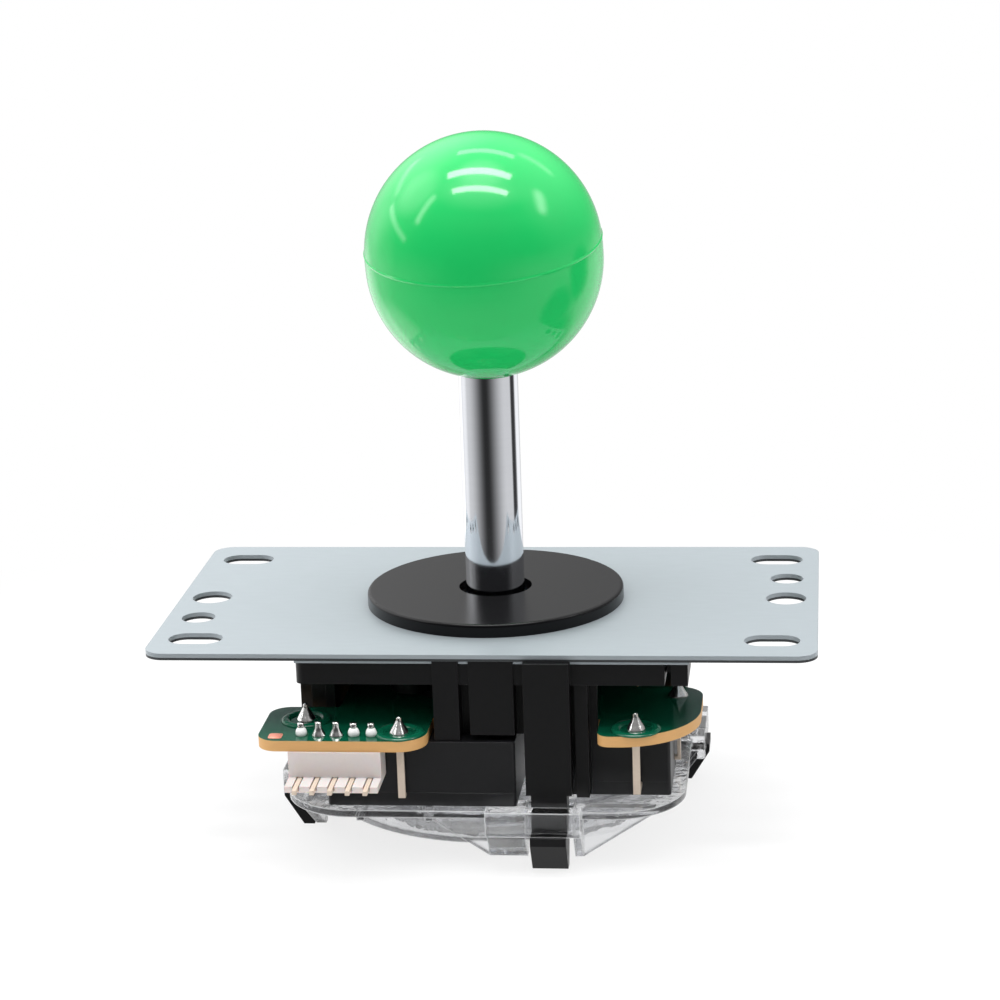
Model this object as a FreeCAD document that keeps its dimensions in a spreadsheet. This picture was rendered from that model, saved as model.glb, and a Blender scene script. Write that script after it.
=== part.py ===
import FreeCAD, Part
import math
import operator
import os
from types import SimpleNamespace

import Sketcher
from FreeCAD import Placement, Rotation, Vector

# Arcade joystick lever with a ball top, built as its real pieces.
# Millimetres. The origin is the centre of the mounting plate's top face, +Z points up
# to the ball, +X along the plate's long side and -Y to the side with the connector.
# Everything under the plate repeats on four sides like a pinwheel, so each side's
# pieces are drawn for the front (-Y) and turned about Z.

DOC = FreeCAD.newDocument("arcade_lever")
SHEET = DOC.addObject("Spreadsheet::Sheet", "sizes")
PIECES = []

# Each row is a driving size: its alias, its value in millimetres (angles in degrees)
# and what it measures.
SIZES = [
    ("plate_length", 97.0, "mounting plate along X"),
    ("plate_width", 54.0, "mounting plate along Y"),
    ("plate_thickness", 1.0, "mounting plate sheet"),
    ("plate_corner", 3.0, "plate corner radius"),
    ("plate_opening", 18.0, "plate hole round the pivot, diameter"),
    ("slot_end_margin", 6.5, "slotted hole's centre from the plate's short edge"),
    ("slot_side_margin", 7.0, "slotted hole's centre from the plate's long edge"),
    ("slot_length", 8.0, "slotted hole, end to end"),
    ("slot_width", 5.0, "slotted hole, across"),
    ("hole_end_margin", 4.8, "round holes' centres from the plate's short edge"),
    ("large_hole", 6.0, "round hole on the centre line, diameter"),
    ("small_hole", 5.0, "round hole off the centre line, diameter"),
    ("small_hole_offset", 10.0, "small round hole from the centre line"),
    ("sheet_thickness", 0.5, "backing sheet"),
    ("sheet_left", 26.3, "backing sheet's reach to -X"),
    ("sheet_right", 30.4, "backing sheet's reach to +X"),
    ("sheet_half_width", 26.5, "backing sheet's reach to -Y and +Y"),
    ("screw_spread", 11.5, "plate screw from each centre line"),
    ("screw_head", 5.0, "countersunk head, diameter"),
    ("screw_head_height", 1.2, "countersunk head, height"),
    ("screw_shank", 2.5, "screw shank, diameter"),
    ("screw_length", 8.0, "plate screw, overall"),
    ("screw_recess", 0.1, "screw head below the plate's top face"),
    ("screw_drive", 0.8, "width of the cross recess"),
    ("screw_clearance", 0.05, "gap round a screw, radial"),
    ("washer_outer", 38.7, "dust washer, outer diameter"),
    ("washer_bore", 11.0, "dust washer, hole diameter"),
    ("washer_thickness", 2.0, "dust washer"),
    ("washer_round", 0.5, "dust washer, rounded top edge"),
    ("ball_diameter", 35.0, "ball across its parting plane"),
    ("ball_band", 1.3, "extra height of the ball along its poles"),
    ("ball_centre", 52.6, "ball centre above the plate"),
    ("ball_tilt", 10.2, "parting plane to the horizontal, degrees"),
    ("ball_tilt_turn", 11.3, "direction in which the parting plane drops, from -Y to -X, degrees"),
    ("seam_rise", 2.0, "parting line above the middle of the ball"),
    ("ball_seat", 17.1, "insert's lower face below the ball's centre"),
    ("ball_seam", 0.12, "raised parting line round the ball"),
    ("ball_flat", 11.0, "flat round the insert under the ball, diameter"),
    ("insert_outer", 8.4, "threaded insert, outer diameter"),
    ("insert_length", 12.0, "threaded insert, length"),
    ("insert_groove", 0.6, "depth of the insert's holding grooves"),
    ("insert_groove_width", 2.0, "width of the insert's holding grooves"),
    ("insert_rim", 2.0, "plain rim at each end of the insert"),
    ("stud_diameter", 6.0, "threaded stud on top of the shaft"),
    ("stud_length", 10.0, "threaded stud, length"),
    ("shaft_diameter", 8.8, "shaft above the pivot"),
    ("spindle_diameter", 6.0, "shaft below the pivot"),
    ("spindle_end", 30.2, "lower end of the shaft below the plate's top"),
    ("shaft_chamfer", 0.5, "chamfer on the shaft's ends"),
    ("shaft_slot", 1.0, "screwdriver slot in the lower end, width"),
    ("shaft_slot_depth", 1.2, "screwdriver slot, depth"),
    ("clip_thickness", 0.7, "retaining clip, thickness"),
    ("clip_outer", 9.0, "retaining clip, outer diameter"),
    ("clip_groove", 4.6, "diameter at the bottom of the clip's groove"),
    ("clip_mouth", 3.6, "opening of the retaining clip"),
    ("clip_relief", 1.8, "notches in the clip's inner edge, diameter"),
    ("clip_relief_place", 0.94, "notches in the clip's inner edge, behind its middle"),
    ("clip_play", 0.05, "gap beside the retaining clip"),
    ("running_gap", 0.05, "radial gap of every turning or sliding fit"),
    ("pivot_depth", 2.8, "tilt centre below the plate's top"),
    ("ball_joint", 13.2, "pivot bush, ball diameter"),
    ("bush_top", 1.3, "bush's upper face above the tilt centre"),
    ("bush_bottom", 5.1, "bush's lower face below the tilt centre"),
    ("liner_wall", 0.8, "liner between the bush and its socket"),
    ("liner_top", 0.4, "liner's upper rim below the tilt centre"),
    ("liner_bottom", 4.7, "liner's lower rim below the tilt centre"),
    ("socket_bore", 9.5, "opening under the socket, diameter"),
    ("flange_left", 26.3, "housing top flange, reach to -X"),
    ("flange_right", 26.9, "housing top flange, reach to +X"),
    ("flange_half_width", 26.4, "housing top flange, reach to -Y and +Y"),
    ("flange_thickness", 3.2, "housing top flange"),
    ("flange_corner", 1.2, "housing flange, corner radius"),
    ("lug_gap", 0.9, "slot between the flange and its side lug"),
    ("lug_width", 2.4, "side lug along X"),
    ("lug_length", 9.0, "side lug along Y"),
    ("lug_slot_length", 6.0, "slot beside the side lug"),
    ("hub_diameter", 21.0, "housing hub round the socket"),
    ("hub_height", 8.8, "housing hub below the flange's top"),
    ("tower_outer", 31.2, "ring wall that stands on the board, outer diameter"),
    ("tower_wall", 2.0, "ring wall, thickness"),
    ("rib_thickness", 1.6, "ribs between hub, ring wall and flange"),
    ("rib_height", 6.0, "depth of the ribs under the flange"),
    ("rib_root", 7.0, "inner end of the ribs, within the hub"),
    ("boss_diameter", 6.4, "screw boss in the housing"),
    ("post_left", 6.3, "hold-down post, far side from the arm"),
    ("post_right", 2.6, "hold-down post, side nearer to the arm"),
    ("post_face", 26.95, "outer face of the post"),
    ("block_left", 1.1, "centre block, side nearer to the post"),
    ("block_right", 5.3, "centre block, side nearer to the arm"),
    ("block_face", 26.7, "outer face of the centre block"),
    ("block_lift", 0.9, "centre block above the switch"),
    ("side_root", 22.3, "inner end of the post and centre block"),
    ("guard_left", 13.9, "guard rib beside the arm, near side"),
    ("guard_right", 15.8, "guard rib beside the arm, far side"),
    ("guard_face", 26.0, "outer face of the guard rib"),
    ("guard_lift", 1.0, "guard rib above the gate frame"),
    ("web_right", 17.0, "wall behind the uprights, right end"),
    ("web_face", 23.7, "wall behind the uprights, outer face"),
    ("arm_left", 6.8, "snap arm, left side at the top"),
    ("arm_right", 13.4, "snap arm, right side at the top"),
    ("arm_taper", 0.7, "how much each side of the arm steps in lower down"),
    ("arm_shoulder", 20.9, "where the arm steps in, below the plate's top"),
    ("arm_face", 28.1, "outer face of the arm"),
    ("arm_thickness", 2.7, "snap arm, thickness"),
    ("hook_reach", 3.5, "hook beyond the arm's outer face"),
    ("hook_land", 1.2, "straight edge of the hook's nose"),
    ("hook_drop", 5.7, "hook tip below its catch face"),
    ("hook_tip_outer", 0.7, "hook tip's outer edge beyond the arm's face"),
    ("hook_tip_width", 1.6, "width of the hook's tip"),
    ("board_drop", 10.0, "board top below the housing's top"),
    ("board_thickness", 1.6, "circuit board"),
    ("board_reach", 31.6, "board edge beside a switch's side terminal"),
    ("board_short_reach", 28.9, "board edge beside a switch's end terminal"),
    ("board_notch_left", 7.2, "side notch in the board, left end"),
    ("board_notch_right", 17.2, "side notch in the board, right end"),
    ("board_notch_floor", 21.6, "side notch in the board, inner edge"),
    ("board_hole", 28.2, "hole in the middle of the board, diameter"),
    ("board_big_corner", 11.5, "radius of the board's three round corners"),
    ("board_small_corner", 3.0, "radius of the board's corners behind the connector"),
    ("board_tip_corner", 1.8, "board corner beside the guard rib"),
    ("board_lobe_corner", 4.0, "board corner beside the connector"),
    ("terminal_hole", 1.3, "plated hole for a switch terminal, diameter"),
    ("pin_hole", 1.1, "plated hole for a connector pin, diameter"),
    ("connector_centre", 20.15, "connector centre from the Y axis"),
    ("connector_width", 13.4, "connector body along X"),
    ("connector_height", 3.8, "connector body below the board"),
    ("connector_back", 27.6, "back of the connector body"),
    ("connector_face", 31.9, "front of the connector body"),
    ("ledge_reach", 35.6, "front of the connector's pin ledge"),
    ("ledge_thickness", 0.9, "connector's pin ledge"),
    ("pin_spacing", 2.54, "connector pins, centre to centre"),
    ("pin_width", 0.64, "connector pin, square"),
    ("pin_row", 29.2, "row of soldered pin tails from the X axis"),
    ("pin_tail", 1.9, "pin tail above the board"),
    ("pin_point", 1.5, "pin beyond the ledge"),
    ("groove_width", 1.0, "groove for a pin in the ledge"),
    ("groove_depth", 0.7, "groove for a pin in the ledge"),
    ("switch_left", 22.2, "microswitch, end with the terminal"),
    ("switch_right", 5.3, "microswitch, end beside the arm"),
    ("switch_outer", 27.3, "microswitch, outer face"),
    ("switch_inner", 11.4, "microswitch, plunger face"),
    ("switch_height", 9.8, "microswitch, case and cover"),
    ("cover_thickness", 2.0, "microswitch cover"),
    ("switch_edge", 0.5, "rounded upright edges of the microswitch"),
    ("switch_roof", 1.5, "case wall over the cavity"),
    ("cavity_left", 16.8, "case cavity, end near the terminal"),
    ("cavity_step_x", 0.8, "case cavity, where it steps back beside the outer hole"),
    ("cavity_right", 3.4, "case cavity, end near the plunger"),
    ("cavity_outer", 24.0, "case cavity, outer side"),
    ("cavity_step_y", 20.8, "case cavity, outer side beside the outer hole"),
    ("cavity_inner", 13.0, "case cavity, plunger side"),
    ("switch_hole", 3.1, "mounting hole through the switch, diameter"),
    ("switch_hole_pitch_x", 22.2, "mounting holes, centre to centre along X"),
    ("switch_hole_pitch_y", 10.3, "mounting holes, centre to centre along Y"),
    ("switch_hole_margin", 2.8, "outer mounting hole to the outer face"),
    ("plunger_diameter", 2.6, "plunger"),
    ("plunger_dome", 0.4, "bevel round the plunger's tip"),
    ("plunger_tip", 10.4, "plunger tip from the lever's axis"),
    ("plunger_level", 4.8, "plunger axis below the switch's top"),
    ("plunger_shoulder", 3.6, "plunger's stop inside the case, diameter"),
    ("plunger_play", 0.2, "plunger's stop to the case wall"),
    ("plunger_stop_length", 1.0, "length of the plunger's stop"),
    ("plunger_nub", 0.9, "nub of the plunger inside its stop"),
    ("plunger_travel", 0.8, "travel of the plunger"),
    ("blade_gap", 0.2, "contact blade beyond the pressed plunger"),
    ("blade_thickness", 0.3, "contact blade"),
    ("contact_gap", 0.4, "contact blade to the side terminal"),
    ("contact_rise", 4.3, "terminal contacts above the cover"),
    ("end_contact", 15.9, "end terminal's contact from the Y axis"),
    ("blade_tip", 1.3, "contact blade beyond the plunger's axis"),
    ("blade_width", 3.0, "contact blade, height"),
    ("terminal_thickness", 0.5, "switch terminals"),
    ("side_terminal_place", 11.2, "side terminal from the Y axis"),
    ("side_terminal_width", 1.05, "side terminal, width"),
    ("side_terminal_line", 27.95, "side terminal's leg from the X axis"),
    ("end_terminal_place", 22.6, "end terminal from the X axis"),
    ("end_terminal_width", 1.05, "end terminal, width"),
    ("end_terminal_line", 25.7, "end terminal's leg from the Y axis"),
    ("terminal_tail", 2.3, "terminal tails above the board"),
    ("tail_width", 0.65, "terminal tails, width"),
    ("slot_play", 0.05, "gap round a terminal in its slot"),
    ("gate_half", 29.3, "gate frame plate, half its side"),
    ("gate_corner", 10.5, "gate frame plate, corner radius"),
    ("gate_plate", 1.1, "gate frame plate, thickness"),
    ("gate_opening", 36.0, "opening in the gate frame plate, diameter"),
    ("collar_outer", 53.0, "round collar under the gate frame, outer diameter"),
    ("collar_wall", 2.0, "round collar, wall"),
    ("collar_lip", 1.1, "lip that holds the restrictor in the collar"),
    ("collar_drop", 4.9, "round collar below the gate frame plate"),
    ("loop_gap", 0.15, "between a snap arm and each side wall of its loop"),
    ("loop_left_wall", 5.6, "loop round a hook, side wall at the left of the arm"),
    ("loop_right_wall", 1.2, "loop round a hook, side wall at the right of the arm"),
    ("window_gap", 0.4, "gap behind a snap arm in its window"),
    ("loop_toe", 1.5, "flat toe of the loop's side walls"),
    ("loop_cheek", 1.5, "upright outer edge of the loop's side walls"),
    ("loop_splay", 10.5, "gusset beside each side wall, width at the frame plate"),
    ("loop_inner", 28.8, "loop bar, inner face"),
    ("loop_outer", 31.2, "loop bar, outer face"),
    ("loop_rise", 0.5, "loop bar above the gate frame plate's top"),
    ("loop_bar_height", 3.7, "loop bar, height"),
    ("loop_root", 25.0, "inner end of the loop's side walls"),
    ("loop_chin", 30.8, "lowest point of the loop's side walls below the plate's top"),
    ("gate_pin_height", 6.0, "locating pins in the switches' mounting holes"),
    ("gate_pin_gap", 0.1, "gap round a locating pin"),
    ("gate_rib", 1.2, "stiffening ribs between the collar and the plate's edge"),
    ("gate_rib_drop", 0.9, "stiffening ribs below the gate frame plate"),
    ("gate_rib_near", 8.0, "rib nearer to the middle of a side"),
    ("gate_rib_far", 18.0, "rib nearer to the corner"),
    ("gate_rib_end", 28.3, "outer end of the ribs"),
    ("restrictor_gap", 0.3, "gap between the restrictor's flange and the collar"),
    ("restrictor_flange_thickness", 1.6, "restrictor flange"),
    ("restrictor_body", 40.0, "restrictor body, diameter"),
    ("restrictor_height", 5.8, "restrictor, overall height"),
    ("restrictor_seat", 0.1, "restrictor flange below the frame plate"),
    ("gate_square", 19.8, "square hole that stops the lever, side"),
    ("gate_square_corner", 4.0, "square hole, corner radius"),
    ("restrictor_lip", 2.4, "wall round the square hole"),
    ("restrictor_rim", 2.0, "outer wall of the restrictor body"),
    ("restrictor_floor", 1.6, "floor between the restrictor's walls"),
    ("collar_flange", 12.8, "spring collar, flange diameter"),
    ("collar_flange_thickness", 1.2, "spring collar, flange"),
    ("collar_relief", 1.4, "spring collar below the housing, so that it can tilt"),
    ("collar_sleeve", 8.2, "spring collar, sleeve diameter"),
    ("collar_sleeve_length", 3.2, "spring collar, sleeve below the flange"),
    ("spring_wire", 1.1, "return spring, wire diameter"),
    ("spring_mean", 9.9, "return spring, mean diameter"),
    ("spring_turns", 4.0, "return spring, turns"),
    ("spring_play", 0.05, "gap at each end of the return spring"),
    ("actuator_top", 13.6, "actuator's rim below the plate's top"),
    ("actuator_diameter", 16.0, "actuator at the plungers, diameter"),
    ("actuator_cup", 12.6, "spring well in the actuator, diameter"),
    ("actuator_cup_depth", 6.9, "spring well, depth"),
    ("actuator_shoulder", 22.0, "where the actuator steps in, below the plate's top"),
    ("actuator_neck", 13.0, "actuator in the gate, diameter"),
    ("actuator_bottom", 27.9, "actuator's lower face below the plate's top"),
    ("actuator_edge", 0.6, "chamfer on the actuator's edges"),
]
COUNTS = SimpleNamespace(sides=4, pins=5)
SIDE_NAMES = ("front", "right", "back", "left")
OPERATIONS = {"+": operator.add, "-": operator.sub, "*": operator.mul, "/": operator.truediv}


class Size:
    """A size of the sheet, or arithmetic on such sizes, that keeps its formula."""

    def __init__(self, number, formula):
        self.number = number
        self.formula = formula

    def __add__(self, other):
        return combine(self, "+", other)

    def __radd__(self, other):
        return combine(other, "+", self)

    def __sub__(self, other):
        return combine(self, "-", other)

    def __rsub__(self, other):
        return combine(other, "-", self)

    def __mul__(self, other):
        return combine(self, "*", other)

    def __rmul__(self, other):
        return combine(other, "*", self)

    def __truediv__(self, other):
        return combine(self, "/", other)

    def __neg__(self):
        return combine(0, "-", self)


def as_size(thing):
    """A plain number as a size without an alias."""
    return thing if isinstance(thing, Size) else Size(float(thing), repr(float(thing)))


def combine(left, sign, right):
    """Join two sizes by one sign, with the number and the formula side by side."""
    left = as_size(left)
    right = as_size(right)
    number = OPERATIONS[sign](left.number, right.number)
    return Size(number, f"({left.formula} {sign} {right.formula})")


def fill_sheet():
    """Write the driving sizes to the sheet and return them by alias."""
    found = SimpleNamespace()
    for row, (alias, number, note) in enumerate(SIZES, start=1):
        SHEET.set(f"A{row}", note)
        SHEET.set(f"B{row}", str(number))
        SHEET.setAlias(f"B{row}", alias)
        setattr(found, alias, Size(number, f"{SHEET.Name}.{alias}"))
    DOC.recompute()
    return found


def bind(thing, prop, size):
    """Bind one property to a formula of the sheet."""
    thing.setExpression(prop, as_size(size).formula)


class Near:
    """A coordinate that a sketch solves for, with the number that it starts from."""

    def __init__(self, number):
        self.number = float(number)


class Arc:
    """The arc from one outline point to the next, about a centre."""

    def __init__(self, centre_x, centre_y, radius, turn=1):
        self.centre = (centre_x, centre_y)
        self.radius = radius
        self.turn = turn


def start_number(coordinate):
    """The number that a coordinate has before the sketch is solved."""
    return coordinate.number if isinstance(coordinate, Near) else as_size(coordinate).number


def pin_point(sketch, geometry, spot, point):
    """Hold one point of a sketch at its two coordinates."""
    for kind, coordinate in zip(("DistanceX", "DistanceY"), point):
        if not isinstance(coordinate, Near):
            size = as_size(coordinate)
            rule = Sketcher.Constraint(kind, -1, 1, geometry, spot, size.number)
            index = sketch.addConstraint(rule)
            sketch.setExpression(f"Constraints[{index}]", size.formula)


def set_radius(sketch, geometry, radius):
    """Give a circle or an arc of a sketch its radius."""
    size = as_size(radius)
    index = sketch.addConstraint(Sketcher.Constraint("Radius", geometry, size.number))
    sketch.setExpression(f"Constraints[{index}]", size.formula)


def outline(sketch, steps):
    """Draw a closed outline: each step is x, y and, where an arc follows it, the arc."""
    count = len(steps)
    ends = []
    for index, step in enumerate(steps):
        after = steps[(index + 1) % count]
        start = Vector(start_number(step[0]), start_number(step[1]), 0)
        end = Vector(start_number(after[0]), start_number(after[1]), 0)
        if len(step) == 2:
            geometry = sketch.addGeometry(Part.LineSegment(start, end), False)
            ends.append((geometry, 1, 2))
            continue
        arc = step[2]
        centre = Vector(start_number(arc.centre[0]), start_number(arc.centre[1]), 0)
        first, last = (start, end) if arc.turn > 0 else (end, start)
        angles = [math.atan2(spot.y - centre.y, spot.x - centre.x) for spot in (first, last)]
        circle = Part.Circle(centre, Vector(0, 0, 1), as_size(arc.radius).number)
        geometry = sketch.addGeometry(Part.ArcOfCircle(circle, *angles), False)
        ends.append((geometry, 1, 2) if arc.turn > 0 else (geometry, 2, 1))
        pin_point(sketch, geometry, 3, arc.centre)
        set_radius(sketch, geometry, arc.radius)
    for index, (geometry, begin, finish) in enumerate(ends):
        after, after_begin, after_finish = ends[(index + 1) % count]
        sketch.addConstraint(Sketcher.Constraint("Coincident", geometry, finish, after, after_begin))
        pin_point(sketch, geometry, begin, steps[index][:2])


def rectangle(sketch, left, bottom, right, top):
    """Draw a rectangle between two corners."""
    outline(sketch, [(left, bottom), (right, bottom), (right, top), (left, top)])


def circle(sketch, x, y, diameter):
    """Draw a circle."""
    radius = diameter / 2
    centre = Vector(start_number(x), start_number(y), 0)
    geometry = sketch.addGeometry(Part.Circle(centre, Vector(0, 0, 1), as_size(radius).number), False)
    pin_point(sketch, geometry, 3, (x, y))
    set_radius(sketch, geometry, radius)


def slot(sketch, x, y, length, width):
    """Draw a slot with round ends that runs along the sketch's first axis."""
    reach = length / 2 - width / 2
    radius = width / 2
    half = as_size(radius).number
    level = start_number(y)
    left = start_number(x - reach)
    right = start_number(x + reach)
    up = Vector(0, 0, 1)
    quarter = math.pi / 2
    right_arc = Part.ArcOfCircle(Part.Circle(Vector(right, level, 0), up, half), -quarter, quarter)
    left_arc = Part.ArcOfCircle(Part.Circle(Vector(left, level, 0), up, half), quarter, 3 * quarter)
    top = Part.LineSegment(Vector(right, level + half, 0), Vector(left, level + half, 0))
    bottom = Part.LineSegment(Vector(left, level - half, 0), Vector(right, level - half, 0))
    parts = [sketch.addGeometry(item, False) for item in (right_arc, top, left_arc, bottom)]
    for index, geometry in enumerate(parts):
        after = parts[(index + 1) % len(parts)]
        sketch.addConstraint(Sketcher.Constraint("Tangent", geometry, 2, after, 1))
    pin_point(sketch, parts[0], 3, (x + reach, y))
    pin_point(sketch, parts[2], 3, (x - reach, y))
    set_radius(sketch, parts[0], radius)
    set_radius(sketch, parts[2], radius)


class Piece:
    """One body of the document, with the features that a piece is made by."""

    def __init__(self, label, kept=True):
        self.body = DOC.addObject("PartDesign::Body", label)
        self.body.Label = label
        if kept:
            PIECES.append(self.body)

    def datum(self, role):
        """A plane or axis of the body's own origin."""
        return next(item for item in self.body.Origin.OriginFeatures if item.Role == role)

    def sketch(self, plane, offset=0):
        """A sketch on an origin plane, moved along the plane's normal."""
        made = self.body.newObject("Sketcher::SketchObject", "Sketch")
        made.AttachmentSupport = [(self.datum(plane), "")]
        made.MapMode = "FlatFace"
        bind(made, "AttachmentOffset.Base.z", offset)
        return made

    def feature(self, kind, place=(), **settings):
        """Add a feature, set its properties and check that it changed the solid."""
        DOC.recompute()
        before = self.body.Shape.Volume if self.body.Tip else 0.0
        made = self.body.newObject(f"PartDesign::{kind}", kind)
        for axis, size in zip("xyz", place):
            bind(made, f"Placement.Base.{axis}", size)
        for name, setting in settings.items():
            if isinstance(setting, Size):
                bind(made, name, setting)
            else:
                setattr(made, name, setting)
        self.body.Tip = made
        DOC.recompute()
        if abs(self.body.Shape.Volume - before) < 1e-6:
            raise RuntimeError(f"{self.body.Label}: {made.Name} changed nothing")
        return made

    def pad(self, sketch, length):
        """Raise a sketch along its normal."""
        return self.feature("Pad", Profile=sketch, Length=as_size(length))

    def pocket(self, sketch, depth):
        """Cut a sketch into the solid, against its normal."""
        return self.feature("Pocket", Profile=sketch, Length=as_size(depth))

    def turned(self, sketch):
        """Turn a sketch about its upright axis."""
        return self.feature("Revolution", Profile=sketch, ReferenceAxis=(sketch, ["V_Axis"]))

    def groove(self, sketch):
        """Cut a sketch out, turned about its upright axis."""
        return self.feature("Groove", Profile=sketch, ReferenceAxis=(sketch, ["V_Axis"]))

    def round_edges(self, points, radius, kind="Fillet"):
        """Round or bevel the upright edges that stand at the given points in plan."""
        places = [(as_size(x).number, as_size(y).number) for x, y in points]
        DOC.recompute()
        names = []
        for index, edge in enumerate(self.body.Shape.Edges, start=1):
            ends = [vertex.Point for vertex in edge.Vertexes]
            upright = len(ends) == 2 and (ends[0] - ends[1]).cross(Vector(0, 0, 1)).Length < 1e-6
            if upright and any(math.dist((ends[0].x, ends[0].y), place) < 1e-4 for place in places):
                names.append(f"Edge{index}")
        if len(names) < len(places):
            raise RuntimeError(f"{self.body.Label}: {len(places)} corners, {len(names)} edges")
        setting = {"Radius" if kind == "Fillet" else "Size": as_size(radius)}
        return self.feature(kind, Base=(self.body.Tip, names), **setting)

    def around(self, features, count=COUNTS.sides):
        """Repeat features about Z."""
        axis = (self.datum("Z_Axis"), [""])
        return self.feature("PolarPattern", Originals=features, Axis=axis, Angle=360, Occurrences=count)

    def move(self, x=0, y=0, side=0):
        """Place the whole body, turned to one of the four sides."""
        self.body.Placement = Placement(Vector(0, 0, 0), Rotation(Vector(0, 0, 1), 90 * side))
        bind(self.body, "Placement.Base.x", x)
        bind(self.body, "Placement.Base.y", y)


def group(label, bodies):
    """Keep like pieces as one node of separate solids."""
    made = DOC.addObject("Part::Compound", label)
    made.Label = label
    made.Links = bodies
    PIECES.append(made)


mm = fill_sheet()

# Levels of the stack, all below the plate's top face at zero.
SHEET_TOP = -mm.plate_thickness
HOUSING_TOP = SHEET_TOP - mm.sheet_thickness
FLANGE_BOTTOM = HOUSING_TOP - mm.flange_thickness
HUB_BOTTOM = HOUSING_TOP - mm.hub_height
BOARD_TOP = HOUSING_TOP - mm.board_drop
BOARD_BOTTOM = BOARD_TOP - mm.board_thickness
PARTING = BOARD_BOTTOM - mm.switch_height + mm.cover_thickness
SWITCH_BOTTOM = BOARD_BOTTOM - mm.switch_height
GATE_BOTTOM = SWITCH_BOTTOM - mm.gate_plate
CATCH_LEVEL = SWITCH_BOTTOM + mm.loop_rise - mm.loop_bar_height
PIVOT = -mm.pivot_depth
BUSH_TOP = PIVOT + mm.bush_top
PLUNGER_LEVEL = BOARD_BOTTOM - mm.plunger_level
COLLAR_TOP = HUB_BOTTOM - mm.collar_relief
COLLAR_BOTTOM = COLLAR_TOP - mm.collar_flange_thickness
CUP_FLOOR = -mm.actuator_top - mm.actuator_cup_depth
CLIP_TOP = -mm.actuator_bottom - mm.clip_play
CLIP_BOTTOM = CLIP_TOP - mm.clip_thickness
BALL_SEAT = mm.ball_centre - mm.ball_seat
BLADE_LINE = mm.cavity_inner + mm.plunger_play + mm.plunger_stop_length + mm.plunger_nub
BLADE_LINE = BLADE_LINE + mm.plunger_travel + mm.blade_gap
BLADE_BACK = BLADE_LINE + mm.blade_thickness
SPINDLE_BORE = mm.spindle_diameter + 2 * mm.running_gap
LINER_INNER = mm.ball_joint / 2 + mm.running_gap
LINER_OUTER = LINER_INNER + mm.liner_wall
SOCKET = LINER_OUTER + mm.running_gap


def make_mounting_plate():
    """Stamped steel plate with its fixing holes and countersunk screw holes."""
    plate = Piece("mounting_plate")
    half_x = mm.plate_length / 2
    half_y = mm.plate_width / 2
    blank = plate.sketch("XY_Plane", SHEET_TOP)
    rectangle(blank, -half_x, -half_y, half_x, half_y)
    plate.pad(blank, mm.plate_thickness)
    corners = [(x, y) for x in (-half_x, half_x) for y in (-half_y, half_y)]
    plate.round_edges(corners, mm.plate_corner)
    holes = plate.sketch("XY_Plane")
    slot_x = half_x - mm.slot_end_margin
    slot_y = half_y - mm.slot_side_margin
    for x in (-slot_x, slot_x):
        for y in (-slot_y, slot_y):
            slot(holes, x, y, mm.slot_length, mm.slot_width)
    for side in (-1, 1):
        x = side * (half_x - mm.hole_end_margin)
        circle(holes, x, 0, mm.large_hole)
        circle(holes, x, side * mm.small_hole_offset, mm.small_hole)
    circle(holes, 0, 0, mm.plate_opening)
    plate.pocket(holes, mm.plate_thickness)
    # The screw heads lie flush in cones that go through the thin plate.
    head = mm.screw_head / 2 + mm.screw_clearance + mm.screw_recess
    shank = mm.screw_shank / 2 + mm.screw_clearance
    slope = (head - shank) / (mm.screw_head_height + mm.screw_recess)
    cone = plate.feature(
        "SubtractiveCone",
        place=(mm.screw_spread, mm.screw_spread, SHEET_TOP),
        Radius1=head - mm.plate_thickness * slope,
        Radius2=head,
        Height=mm.plate_thickness,
    )
    plate.around([cone])


def side_spans():
    """Left and right of each upright that rises past the backing sheet, on the front side."""
    gap = mm.slot_play
    return [
        (-mm.post_left - gap, -mm.post_right + gap),
        (-mm.block_left - gap, mm.block_right + gap),
        (mm.arm_left - gap, mm.arm_right + gap),
    ]


def make_backing_sheet():
    """Thin zinc-plated sheet between the plate and the housing, notched for the uprights."""
    sheet = Piece("backing_sheet")
    blank = sheet.sketch("XY_Plane", HOUSING_TOP)
    rectangle(blank, -mm.sheet_left, -mm.sheet_half_width, mm.sheet_right, mm.sheet_half_width)
    circle(blank, 0, 0, mm.plate_opening)
    for x in (-mm.screw_spread, mm.screw_spread):
        for y in (-mm.screw_spread, mm.screw_spread):
            circle(blank, x, y, mm.screw_head)
    sheet.pad(blank, mm.sheet_thickness)
    notches = sheet.sketch("XY_Plane", SHEET_TOP)
    outside = -mm.sheet_right - mm.slot_play
    for left, right in side_spans():
        rectangle(notches, left, outside, right, mm.slot_play - mm.side_root)
    sheet.around([sheet.pocket(notches, mm.sheet_thickness)])


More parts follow.
